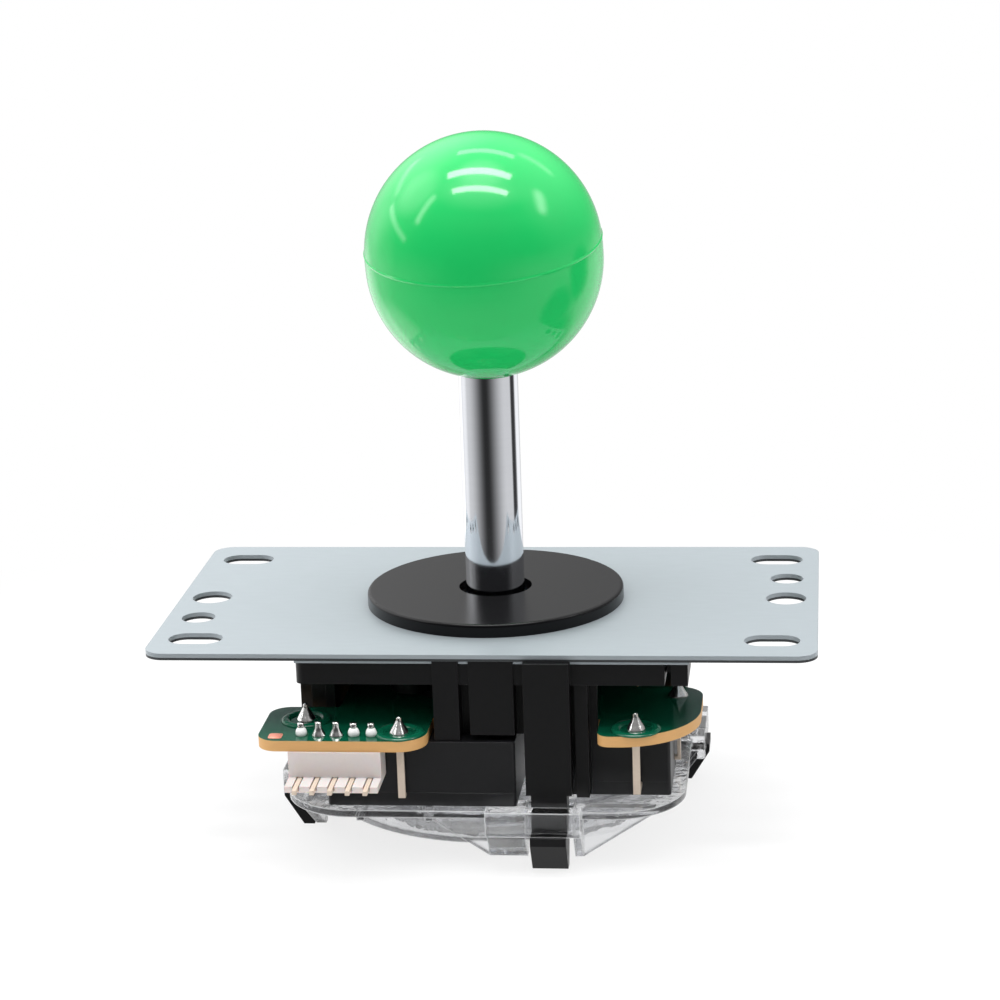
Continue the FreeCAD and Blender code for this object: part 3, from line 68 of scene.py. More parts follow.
# Samples of a rounded edge: more is smoother and slower.
BEVEL_SAMPLES = 6
# Top and bottom of the band of painted shade on the plate's stamped edge.
SHADE_BAND_TOP = -0.62 * MM
SHADE_BAND_BOTTOM = -1.01 * MM
# Points of one tail lie closer together than this.
TAIL_SPREAD = 1.5 * MM
# Terminals nearer the camera than this have a ring of thick coating.
FRONT_ROW = -20 * MM
# Solder, rings and pad start this far inside the board, so no gap shows under them.
ROOT = -0.01 * MM
# Height of a solder cone's thin rim, and of the bare pad.
RIM = 0.06 * MM
# Outline of a solder cone over its rim, in shares of its foot radius and of its rise.
CONE = ((0.94, 0.1), (0.72, 0.3), (0.5, 0.52), (0.32, 0.72), (0.24, 0.8), (0.26, 0.88), (0.22, 0.95))
# Outline of a rounded bead over its foot, in shares of its radius and of its rise.
BEAD = ((0.96, 0.14), (1.0, 0.34), (0.95, 0.54), (0.8, 0.74), (0.6, 0.9), (0.4, 1.0))
# Which connector pins have a solder cone, from the left. The others have a bead.
WETTED = (False, True, True, False, False)
# Seeds of the first terminal's and the first pin's uneven solder. Each next one adds 1.
TERMINAL_SEED = 4
PIN_SEED = 12
# The bare pad at the board's front left corner: middle, half its size and corner radius.
PAD_PLACE = (-28.95 * MM, -29.65 * MM)
PAD_HALF = (1.0 * MM, 1.05 * MM)
PAD_CORNER = 0.45 * MM
# The floor lies this far under the hooks.
FLOOR_GAP = 0.05 * MM
# Overhead tubes: name, middle, length and width in metres, and share of the tube power.
TUBES = (
    ("front_tube", (0.013, -0.176, 0.56), (0.445, 0.059), 1.0),
    ("middle_tube", (-0.011, 0.009, 0.56), (0.43, 0.07), 1.1),
    ("rear_tube", (0.0, 0.29, 0.56), (0.33, 0.08), 0.28),
)

# The room is given in degrees as seen from the lever. Bearing 0 is the camera's side and 90 the
# right, and rise is the height over the horizon.
# Strip lights: bearing and rise of both ends, width, and strength.
STRIPS = (
    ((-70, 51), (-69, 26), 5, 4.2),
    ((-115, 20), (-76, 11), 4, 2.6),
    ((-147, 26), (-119, 25), 5, 1.3),
    ((156, 48), (137, 35), 6, 1.6),
    ((96, 46), (80, 33), 9, 4.6),
)
# Reflectors and pale walls: bearing, rise, outer and inner radius, and strength.
REFLECTORS = (
    (-135, 27, 42, 6, 0.9),
    (-98, 42, 22, 6, 1.3),
    (-142, -24, 22, 8, 0.75),
    (-118, -42, 24, 8, 0.8),
    (-110, 0, 26, 8, 0.4),
    (140, -24, 26, 10, 0.4),
    (0, 90, 21, 6, 1.6),
)
# Folds of the black curtain: bearing, rise, outer and inner radius.
FOLDS = ((112, -15, 17, 8), (92, -36, 19, 10), (130, -58, 27, 18))

# The photograph's camera, fitted to the plate and the ball: place in millimetres, angles in degrees.
CAMERA_PLACE = (49.95, -406.27, 128.74)
CAMERA_TURN = 6.853
CAMERA_DIP = 15.487
CAMERA_ROLL = -1.955


def linear(hex_code):
    """An sRGB hex colour as linear red, green, blue and a full alpha."""
    channels = [int(hex_code[start:start + 2], 16) / 255 for start in (1, 3, 5)]
    curve = [c / 12.92 if c <= 0.04045 else ((c + 0.055) / 1.055) ** 2.4 for c in channels]
    return (*curve, 1.0)


def tint(name, description, hex_code):
    """A colour that a user would change, with its starting value."""
    return FloatVectorProperty(
        name=name,
        description=description,
        subtype="COLOR",
        size=4,
        min=0.0,
        max=1.0,
        default=linear(hex_code),
    )


def length(name, description, millimetres):
    """A length that a user would change, with its starting value in millimetres."""
    return FloatProperty(
        name=name,
        description=description,
        unit="LENGTH",
        min=0.0,
        precision=5,
        default=millimetres * MM,
    )


class LeverColours(bpy.types.PropertyGroup):
    """Colours of the lever's plastics, metals and board."""

    ball: tint("Ball", "Moulded plastic of the ball top", "#1FBE60")
    washer: tint("Dust washer", "Black plastic of the loose washer", "#0B0B0D")
    plate: tint("Plate", "Zinc-plated steel of the mounting plate", "#9BA3A8")
    housing: tint("Housing", "Black plastic of the housing and its snap arms", "#0D0D0F")
    switches: tint("Switches", "Black plastic of the switch cases", "#151518")
    mask: tint("Board coating", "Green coating of the circuit board", "#09543C")
    laminate: tint("Board edge", "Bare glass laminate at the board's edge", "#C4965C")
    copper: tint("Bare pad", "Bare copper of the test pad at the board's corner", "#EE9A84")
    connector: tint("Connector", "Natural nylon of the wire header", "#CFC8C6")


class SolderSizes(bpy.types.PropertyGroup):
    """Sizes of the soldered joints."""

    terminal_foot: length("Terminal foot", "Radius of the solder round a switch terminal", 1.45)
    terminal_rise: length("Terminal rise", "Height that the solder climbs a switch terminal", 2.5)
    pin_foot: length("Pin foot", "Radius of a solder cone round a connector pin", 1.0)
    pin_rise: length("Pin rise", "Height of a solder cone round a connector pin", 2.1)
    bead_radius: length("Bead radius", "Radius of a rounded solder bead round a connector pin", 0.8)
    bead_rise: length("Bead rise", "Height of a rounded solder bead", 1.35)
    tail_radius: length("Tail radius", "Radius of the solder skin on a connector pin's tail", 0.47)
    tail_rise: length("Tail rise", "Height of a connector pin's tinned tail over the board", 1.96)
    ring_radius: length("Ring radius", "Radius of the coating's ring round a front terminal", 2.95)
    ring_width: length("Ring width", "Width of the coating's ring", 1.4)
    ring_rise: length("Ring rise", "Height of the coating's ring", 0.42)


class StudioSettings(bpy.types.PropertyGroup):
    """Camera lens, lamps and floor."""

    lens: FloatProperty(
        name="Lens",
        description="Focal length of the camera on a 36 mm sensor",
        subtype="DISTANCE_CAMERA",
        default=102.0,
    )
    tube_power: FloatProperty(
        name="Tube power",
        description="Power of the front tube overhead, from which the others are scaled",
        subtype="POWER",
        default=1.0,
    )
    sky: FloatProperty(
        name="Overhead light",
        description="Strength of the even light from above",
        min=0.0,
        default=0.84,
    )
    floor_radius: length("Floor radius", "Radius of the pale floor", 170.0)


def add_node(tree, kind, inputs=None, **settings):
    """Add a node; each input takes a number, a colour or another node's output."""
    node = tree.nodes.new(kind)
    for name, value in settings.items():
        setattr(node, name, value)
    for name, value in (inputs or {}).items():
        socket = node.inputs[name]
        if isinstance(value, bpy.types.NodeSocket):
            tree.links.new(value, socket)
        else:
            socket.default_value = value
    return node


def new_material(name, **surface):
    """A material with one Principled shader, whose constant values are given."""
    material = bpy.data.materials.new(name)
    material.use_nodes = True
    tree = material.node_tree
    tree.nodes.clear()
    values = {key.replace("_", " "): value for key, value in surface.items()}
    shader = add_node(tree, "ShaderNodeBsdfPrincipled", values)
    add_node(tree, "ShaderNodeOutputMaterial", {"Surface": shader.outputs["BSDF"]})
    return material, tree, shader


def math_node(tree, operation, first, second=0.0):
    """The result of one arithmetic step."""
    return add_node(tree, "ShaderNodeMath", {0: first, 1: second}, operation=operation).outputs[0]


def ramp(tree, value, start, stop, low, high):
    """A smooth step of a value from low at start to high at stop."""
    limits = {"Value": value, "From Min": start, "From Max": stop, "To Min": low, "To Max": high}
    step = add_node(tree, "ShaderNodeMapRange", limits, interpolation_type="SMOOTHSTEP")
    return step.outputs["Result"]


def mix_numbers(tree, share, first, second):
    """A blend of two numbers."""
    return add_node(tree, "ShaderNodeMix", {"Factor": share, "A": first, "B": second}).outputs["Result"]


def heading(bearing, rise):
    """A direction from its bearing, 0 towards the camera, and its rise, in degrees."""
    turn = math.radians(bearing)
    lift = math.radians(rise)
    level = math.cos(lift)
    return Vector((math.sin(turn) * level, -math.cos(turn) * level, math.sin(lift)))


def dot_node(tree, first, second):
    """How far two directions agree."""
    inputs = {0: first, 1: second}
    return add_node(tree, "ShaderNodeVectorMath", inputs, operation="DOT_PRODUCT").outputs["Value"]


def level_share(tree):
    """How level a surface lies: 1 for one that faces up or down, 0 for an upright one."""
    surface = add_node(tree, "ShaderNodeNewGeometry")
    normal = add_node(tree, "ShaderNodeSeparateXYZ", {"Vector": surface.outputs["Normal"]})
    return math_node(tree, "ABSOLUTE", normal.outputs["Z"])


def noise_node(tree, grain, detail=3.0, stretch=(1, 1, 1)):
    """Noise with grains of a real size, drawn out along an axis where its scale is below 1."""
    place = add_node(tree, "ShaderNodeTexCoord")
    mapped = add_node(
        tree,
        "ShaderNodeMapping",
        {"Vector": place.outputs["Object"], "Scale": stretch},
    )
    return add_node(
        tree,
        "ShaderNodeTexNoise",
        {"Vector": mapped.outputs["Vector"], "Scale": 1 / grain, "Detail": detail},
    )


def add_relief(tree, shader, grain, depth, edge=0.0, stretch=(1, 1, 1)):
    """Give a surface grain of a real size and depth, and edges rounded by a real radius."""
    noise = noise_node(tree, grain, stretch=stretch)
    relief = add_node(
        tree,
        "ShaderNodeBump",
        {"Height": noise.outputs["Fac"], "Distance": depth},
    )
    if edge:
        rounded = add_node(tree, "ShaderNodeBevel", {"Radius": edge}, samples=BEVEL_SAMPLES)
        tree.links.new(rounded.outputs["Normal"], relief.inputs["Normal"])
    tree.links.new(relief.outputs["Normal"], shader.inputs["Normal"])
    return noise


def shade(colour, share):
    """A colour made darker by a share below 1, or lighter by one above it."""
    return (*(channel * share for channel in colour[:3]), 1.0)


def mix_colours(tree, share, first, second):
    """A blend of two colours. A Mix node has one output for each kind of data."""
    ends = {"Factor": share, "A": first, "B": second}
    blend = add_node(tree, "ShaderNodeMix", ends, data_type="RGBA")
    return next(output for output in blend.outputs if output.type == "RGBA")


def vary_colour(tree, shader, noise, colour, darker, lighter):
    """Let a colour drift between a darker and a lighter shade of itself."""
    blend = mix_colours(tree, noise.outputs["Fac"], shade(colour, darker), shade(colour, lighter))
    tree.links.new(blend, shader.inputs["Base Color"])


def dress(material, *nodes):
    """Give CAD nodes their finish."""
    for node in nodes:
        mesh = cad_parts[node].data
        mesh.materials.clear()
        mesh.materials.append(material)


def tinned_brass(name):
    """Brass strip with a thin dip of tin: warm pale metal, dull where it was sheared."""
    tin, tree, shader = new_material(name, Metallic=0.15, Roughness=0.42)
    noise = add_relief(tree, shader, grain=0.4 * MM, depth=0.006 * MM, edge=0.06 * MM)
    vary_colour(tree, shader, noise, linear("#D6C5B4"), 0.92, 1.04)
    return tin


def close_rings(mesh, rings):
    """Close a stack of rings of points, from the foot up, into a solid."""
    count = len(rings[0])
    for low, high in zip(rings, rings[1:]):
        for step in range(count):
            after = (step + 1) % count
            mesh.faces.new((low[step], low[after], high[after], high[step]))
    mesh.faces.new(list(reversed(rings[0])))
    mesh.faces.new(rings[-1])


def lathe_into(mesh, centre, profile, wobble, seed, count=28):
    """Add a turned solid: profile is radius and height from the foot up, wobble its unevenness."""
    chance = random.Random(seed)
    bends = [(chance.uniform(-1, 1), chance.uniform(0, 2 * math.pi)) for _ in range(3)]
    rings = []
    for radius, height in profile:
        ring = []
        for step in range(count):
            angle = 2 * math.pi * step / count
            swell = sum(
                size * math.cos(order * angle + turn)
                for order, (size, turn) in enumerate(bends, start=2)
            )
            reach = radius * (1 + wobble * swell)
            place = centre + Vector((reach * math.cos(angle), reach * math.sin(angle), height))
            ring.append(mesh.verts.new(place))
        rings.append(ring)
    close_rings(mesh, rings)


def finish_piece(name, mesh, material, body):
    """Turn a bmesh into a smooth piece that rides on a body."""
    data = bpy.data.meshes.new(name)
    bmesh.ops.recalc_face_normals(mesh, faces=mesh.faces)
    mesh.to_mesh(data)
    mesh.free()
    for face in data.polygons:
        face.use_smooth = True
    data.materials.append(material)
    piece = bpy.data.objects.new(name, data)
    bpy.context.scene.collection.objects.link(piece)
    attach(piece, body)


def tail_places(node, level):
    """Where each separate tail of a node comes up through a level."""
    spots = [vertex.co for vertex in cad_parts[node].data.vertices if vertex.co.z > level]
    groups = []
    for spot in spots:
        near = next((group for group in groups if (group[0].xy - spot.xy).length < TAIL_SPREAD), None)
        if near is None:
            groups.append([spot])
        else:
            near.append(spot)
    places = []
    for group in groups:
        middle = sum(group, Vector()) / len(group)
        places.append(Vector((middle.x, middle.y, level)))
    return places


class LEVER_OT_ball(bpy.types.Operator):
    """Finish the ball top and the insert in it"""

    bl_idname = "lever.ball"
    bl_label = "Ball Top"

    def execute(self, context):
        colours = context.scene.lever_colours
        # Moulded and polished ABS: a deep even colour under a hard, slightly wavy gloss.
        abs_plastic, tree, shader = new_material("polished_moulded_abs", Roughness=0.09, IOR=1.53)
        noise = add_relief(tree, shader, grain=11 * MM, depth=0.012 * MM)
        vary_colour(tree, shader, noise, colours.ball, 0.96, 1.04)
        dress(abs_plastic, "ball_top")
        # Turned brass: warm metal with fine rings from the tool.
        brass, tree, shader = new_material("turned_brass", Metallic=1.0, Roughness=0.3)
        noise = add_relief(tree, shader, grain=0.4 * MM, depth=0.01 * MM, stretch=(0.1, 0.1, 1))
        vary_colour(tree, shader, noise, linear("#C9A25E"), 0.9, 1.1)
        dress(brass, "ball_insert")
        return {"FINISHED"}


class LEVER_OT_shaft(bpy.types.Operator):
    """Finish the chromed shaft and its retaining clip"""

    bl_idname = "lever.shaft"
    bl_label = "Shaft"

    def execute(self, context):
        # Chrome over turned steel: a mirror with faint rings round the shaft.
        chrome, tree, shader = new_material("chromed_turned_steel", Metallic=1.0, Roughness=0.07)
        noise = add_relief(tree, shader, grain=0.5 * MM, depth=0.0006 * MM, stretch=(0.05, 0.05, 1))
        vary_colour(tree, shader, noise, linear("#E2E4E9"), 0.97, 1.02)
        dress(chrome, "shaft")
        # Blued spring steel: dark metal with a dull sheen.
        spring_steel, tree, shader = new_material("oiled_spring_steel", Metallic=1.0, Roughness=0.32)
        noise = add_relief(tree, shader, grain=0.3 * MM, depth=0.006 * MM)
        vary_colour(tree, shader, noise, linear("#8B8D92"), 0.85, 1.1)
        dress(spring_steel, "e_clip", "return_spring")
        return {"FINISHED"}


class LEVER_OT_plate(bpy.types.Operator):
    """Finish the mounting plate, the backing sheet and their screws"""

    bl_idname = "lever.plate"
    bl_label = "Plate"

    def execute(self, context):
        colours = context.scene.lever_colours
        # Zinc-plated cold-rolled steel: pale blue-grey, softly clouded along the rolling direction.
        zinc, tree, shader = new_material("zinc_plated_sheet_steel", Metallic=0.3, Roughness=0.42)
        noise = add_relief(
            tree, shader, grain=0.9 * MM, depth=0.004 * MM, edge=0.16 * MM, stretch=(0.25, 1, 1)
        )
        vary_colour(tree, shader, noise, colours.plate, 0.95, 1.04)
        # Painted shade on the lower band of the upright edges.
        self.paint_edge_shade(tree, shader)
        dress(zinc, "mounting_plate", "backing_sheet")
        # Zinc-plated screws: brighter and smoother than the sheet.
        plated, tree, shader = new_material("zinc_plated_screw", Metallic=1.0, Roughness=0.28)
        noise = add_relief(tree, shader, grain=0.5 * MM, depth=0.004 * MM)
        vary_colour(tree, shader, noise, linear("#D5D8D8"), 0.9, 1.05)
        dress(plated, "plate_screws")
        return {"FINISHED"}

    def paint_edge_shade(self, tree, shader):
        """Paint shade on the lower band of the sheet's upright edges."""
        upright = math_node(tree, "LESS_THAN", level_share(tree), 0.5)
        place = add_node(tree, "ShaderNodeTexCoord")
        point = add_node(tree, "ShaderNodeSeparateXYZ", {"Vector": place.outputs["Object"]})
        under_top = math_node(tree, "LESS_THAN", point.outputs["Z"], SHADE_BAND_TOP)
        over_bottom = math_node(tree, "GREATER_THAN", point.outputs["Z"], SHADE_BAND_BOTTOM)
        band = math_node(tree, "MULTIPLY", under_top, over_bottom)
        painted_shade = math_node(tree, "MULTIPLY", upright, band)
        base = shader.inputs["Base Color"].links[0].from_socket
        # Painted shade: dark grey is mixed in over that band.
        blend = mix_colours(tree, painted_shade, base, linear("#3E4143"))
        tree.links.new(blend, shader.inputs["Base Color"])


class LEVER_OT_washer(bpy.types.Operator):
    """Finish the dust washer"""

    bl_idname = "lever.washer"
    bl_label = "Dust Washer"

    def execute(self, context):
        colours = context.scene.lever_colours
        # Moulded nylon: near black, with a fine eroded texture that keeps it satin.
        nylon, tree, shader = new_material(
            "satin_moulded_nylon",
            Roughness=0.24,
            IOR=1.45,
            Specular_IOR_Level=0.25,
        )
        noise = add_relief(tree, shader, grain=0.35 * MM, depth=0.006 * MM)
        vary_colour(tree, shader, noise, colours.washer, 0.9, 1.12)
        dress(nylon, "dust_washer")
        return {"FINISHED"}


class LEVER_OT_housing(bpy.types.Operator):
    """Finish the housing and the parts of the pivot inside it"""

    bl_idname = "lever.housing"
    bl_label = "Housing and Pivot"

    def execute(self, context):
        colours = context.scene.lever_colours
        # Moulded ABS straight from the tool: black, satin, with soft bright edges.
        abs_plastic, tree, shader = new_material("satin_moulded_abs", Roughness=0.36, IOR=1.5)
        noise = add_relief(tree, shader, grain=0.6 * MM, depth=0.006 * MM, edge=0.12 * MM)
        vary_colour(tree, shader, noise, colours.housing, 0.85, 1.2)
        dress(abs_plastic, "housing")
        # Acetal: milky white and waxy, so it takes light in at its edges.
        acetal, tree, shader = new_material(
            "waxy_acetal",
            Roughness=0.34,
            IOR=1.48,
            Subsurface_Weight=0.25,
            Subsurface_Scale=0.8 * MM,
        )
        noise = add_relief(tree, shader, grain=0.8 * MM, depth=0.004 * MM, edge=0.1 * MM)
        vary_colour(tree, shader, noise, linear("#E9E8E2"), 0.97, 1.02)
        dress(acetal, "pivot_liner", "pivot_bush", "spring_collar", "actuator")
        return {"FINISHED"}


class LEVER_OT_board(bpy.types.Operator):
    """Finish the circuit board and add its solder, its thick coating and its bare pad"""

    bl_idname = "lever.board"
    bl_label = "Circuit Board"

    def execute(self, context):
        colours = context.scene.lever_colours
        sizes = context.scene.solder_sizes
        dress(self.coated_laminate(colours), "circuit_board")
        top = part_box("circuit_board")[1].z
        bright = self.bright_solder()
        self.solder_terminals(colours, sizes, bright, top)
        self.solder_pins(sizes, bright, top)
        self.add_pad(colours, top)
        return {"FINISHED"}

    def solder_terminals(self, colours, sizes, bright, top):
        """A cone of solder on each switch terminal, and a ring of coating round the front ones."""
        joints = bmesh.new()
        rings = bmesh.new()
        places = []
        for side in SIDES:
            for kind in ("side", "end"):
                places += tail_places(f"{side}_switch_{kind}_terminal", top)
        for seed, place in enumerate(places, start=TERMINAL_SEED):
            self.add_joint(joints, place, sizes.terminal_foot, sizes.terminal_rise, seed)
            if place.y < FRONT_ROW:
                self.add_ring(rings, place, sizes, seed)
        finish_piece("terminal_solder", joints, bright, "base")
        finish_piece("coating_rings", rings, self.thick_coating(colours), "base")

    def solder_pins(self, sizes, bright, top):
        """A cone of solder on some connector pins, a bead and a tinned tail on the others."""
        cones = bmesh.new()
        beads = bmesh.new()
        places = sorted(tail_places("connector_pins", top), key=lambda place: place.x)
        for seed, (place, wetted) in enumerate(zip(places, WETTED), start=PIN_SEED):
            if wetted:
                self.add_joint(cones, place, sizes.pin_foot, sizes.pin_rise, seed, sizes.tail_radius)
            else:
                self.add_bead(beads, place, sizes.bead_radius, sizes.bead_rise, seed)
                self.add_tail(cones, place, sizes.tail_radius, sizes.tail_rise, seed)
        finish_piece("pin_solder", cones, bright, "base")
        finish_piece("pin_beads", beads, self.dull_solder(), "base")

    def coated_laminate(self, colours):
        """Coated glass laminate: glossy green faces over a raw sawn edge with glass layers."""
        laminate, tree, shader = new_material("coated_glass_laminate", IOR=1.52)
        face = math_node(tree, "GREATER_THAN", level_share(tree), 0.7)
        layers = noise_node(tree, 0.25 * MM, detail=2.0, stretch=(0.15, 0.15, 1))
        pale = shade(colours.laminate, 1.12)
        sawn = mix_colours(tree, layers.outputs["Fac"], colours.laminate, pale)
        cloud = noise_node(tree, 4 * MM, detail=2.0)
        deep = shade(colours.mask, 0.8)
        coating = mix_colours(tree, cloud.outputs["Fac"], deep, colours.mask)
        relief = add_node(
            tree, "ShaderNodeBump", {"Height": cloud.outputs["Fac"], "Distance": 0.02 * MM}
        )
        tree.links.new(mix_colours(tree, face, sawn, coating), shader.inputs["Base Color"])
        tree.links.new(mix_numbers(tree, face, 0.6, 0.14), shader.inputs["Roughness"])
        tree.links.new(relief.outputs["Normal"], shader.inputs["Normal"])
        return laminate

    def thick_coating(self, colours):
        """The green coating where it stands thick: as glossy as wet paint."""
        coating, tree, shader = new_material("thick_green_coating", Roughness=0.1, IOR=1.52)
        noise = add_relief(tree, shader, grain=1.5 * MM, depth=0.03 * MM)
        vary_colour(tree, shader, noise, colours.mask, 0.9, 1.3)
        return coating

    def bright_solder(self):
        """Tin solder as it set: bright metal with a slightly rumpled skin."""
        solder, tree, shader = new_material("bright_tin_solder", Metallic=1.0, Roughness=0.17)
        noise = add_relief(tree, shader, grain=0.7 * MM, depth=0.04 * MM)
        vary_colour(tree, shader, noise, linear("#F6F5F3"), 0.94, 1.02)
        return solder

    def dull_solder(self):
        """Tin solder that cooled slowly: white and frosted."""
        solder, tree, shader = new_material("frosted_tin_solder", Metallic=0.1, Roughness=0.36)
        noise = add_relief(tree, shader, grain=0.5 * MM, depth=0.03 * MM)
        vary_colour(tree, shader, noise, linear("#FAFAF9"), 0.96, 1.02)
        return solder

    def add_pad(self, colours, top):
        """A bare copper pad with rounded corners on the board."""
        copper, tree, shader = new_material("bare_copper_pad", Metallic=0.2, Roughness=0.45)
        noise = add_relief(tree, shader, grain=0.3 * MM, depth=0.006 * MM)
        vary_colour(tree, shader, noise, colours.copper, 0.94, 1.04)
        count = 32
        pad = bmesh.new()
        rings = []
        for height in (ROOT, RIM):
            ring = []
            for step in range(count):
                angle = 2 * math.pi * (step + 0.5) / count
                across = math.cos(angle)
                along = math.sin(angle)
                x = PAD_PLACE[0] + math.copysign(PAD_HALF[0] - PAD_CORNER, across) + PAD_CORNER * across
                y = PAD_PLACE[1] + math.copysign(PAD_HALF[1] - PAD_CORNER, along) + PAD_CORNER * along
                ring.append(pad.verts.new((x, y, top + height)))
            rings.append(ring)
        close_rings(pad, rings)
        finish_piece("bare_pad", pad, copper, "base")

    def add_ring(self, rings, place, sizes, seed):
        """A low rounded ring of coating that piled up round a terminal."""
        half = sizes.ring_width / 2
        steps = 8
        section = []
        for step in range(steps + 1):
            angle = math.pi * (1 - step / steps)
            height = sizes.ring_rise * math.sin(angle) + ROOT
            section.append((sizes.ring_radius + half * math.cos(angle), height))
        lathe_into(rings, place, section, wobble=0.01, seed=seed, count=64)

    def add_joint(self, joints, place, foot, rise, seed, core=0.0):
        """One soldered joint: a flat rim, a hollow cone no thinner than its core, a rounded tip."""
        profile = [(foot, ROOT), (foot, RIM)]
        profile += [(foot * across, rise * up) for across, up in CONE]
        section = [(max(radius, core), height) for radius, height in profile]
        section.append((foot * 0.1, rise))
        lathe_into(joints, place, section, wobble=0.05, seed=seed)

    def add_tail(self, joints, place, radius, rise, seed):
        """The skin of solder on a pin's tail over its bead."""
        section = [(radius, rise * 0.4), (radius, rise * 0.97), (radius * 0.6, rise)]
        lathe_into(joints, place, section, wobble=0.02, seed=seed)

    def add_bead(self, joints, place, radius, rise, seed):
        """A joint with more solder: a round bead that the pin sticks out of."""
        section = [(radius * 0.86, ROOT)]
        section += [(radius * across, rise * up) for across, up in BEAD]
        lathe_into(joints, place, section, wobble=0.04, seed=seed)


class LEVER_OT_connector(bpy.types.Operator):
    """Finish the wire header and its pins"""

    bl_idname = "lever.connector"
    bl_label = "Wire Header"

    def execute(self, context):
        colours = context.scene.lever_colours
        # Natural nylon: milky white, light scatters a little way into it.
        nylon, tree, shader = new_material(
            "natural_moulded_nylon",
            Roughness=0.38,
            IOR=1.52,
            Subsurface_Weight=0.3,
            Subsurface_Scale=0.7 * MM,
        )
        noise = add_relief(tree, shader, grain=0.5 * MM, depth=0.006 * MM, edge=0.12 * MM)
        vary_colour(tree, shader, noise, colours.connector, 0.96, 1.02)
        dress(nylon, "connector_housing")
        dress(tinned_brass("tinned_brass_pin"), "connector_pins")
        return {"FINISHED"}


class LEVER_OT_switches(bpy.types.Operator):
    """Finish the microswitches"""

    bl_idname = "lever.switches"
    bl_label = "Microswitches"

    def execute(self, context):
        colours = context.scene.lever_colours
        # Glass-filled polyester: black and satin with a faint mottle.
        polyester, tree, shader = new_material("glass_filled_polyester", Roughness=0.4, IOR=1.54)
        noise = add_relief(tree, shader, grain=0.5 * MM, depth=0.008 * MM, edge=0.14 * MM)
        vary_colour(tree, shader, noise, colours.switches, 0.85, 1.2)
        terminals = tinned_brass("tinned_brass_terminal")
        bronze, tree, shader = new_material("rolled_phosphor_bronze", Metallic=1.0, Roughness=0.26)
        noise = add_relief(tree, shader, grain=0.5 * MM, depth=0.004 * MM, stretch=(0.2, 1, 1))
        vary_colour(tree, shader, noise, linear("#C98F5A"), 0.92, 1.06)
        for side in SIDES:
            dress(polyester, f"{side}_switch_case", f"{side}_switch_cover", f"{side}_switch_plunger")
            dress(terminals, f"{side}_switch_side_terminal", f"{side}_switch_end_terminal")
            dress(bronze, f"{side}_switch_contact_blade")
        return {"FINISHED"}


class LEVER_OT_gate(bpy.types.Operator):
    """Finish the clear gate frame and its restrictor"""

    bl_idname = "lever.gate"
    bl_label = "Gate"

    def execute(self, context):
        # Clear polycarbonate: water-clear, with soft waves where the plastic flowed.
        clear, tree, shader = new_material(
            "clear_polycarbonate",
            Base_Color=linear("#F2F3F5"),
            Roughness=0.02,
            IOR=1.585,
            Alpha=0.85,
        )
        add_relief(tree, shader, grain=3 * MM, depth=0.16 * MM)
        # Edges are made opaque, so they show as pale lines: a painted highlight along each edge.
        rounded = add_node(tree, "ShaderNodeBevel", {"Radius": 0.42 * MM}, samples=BEVEL_SAMPLES)
        flat = add_node(tree, "ShaderNodeNewGeometry")
        along = dot_node(tree, rounded.outputs["Normal"], flat.outputs["Normal"])
        clear_between_painted_edges = ramp(tree, along, 0.84, 0.99, 0.15, 1.0)
        # Painted highlight: less transmission at the edges shows the pale base colour there.
        tree.links.new(clear_between_painted_edges, shader.inputs["Transmission Weight"])
        dress(clear, "gate_frame", "gate_restrictor")
        return {"FINISHED"}


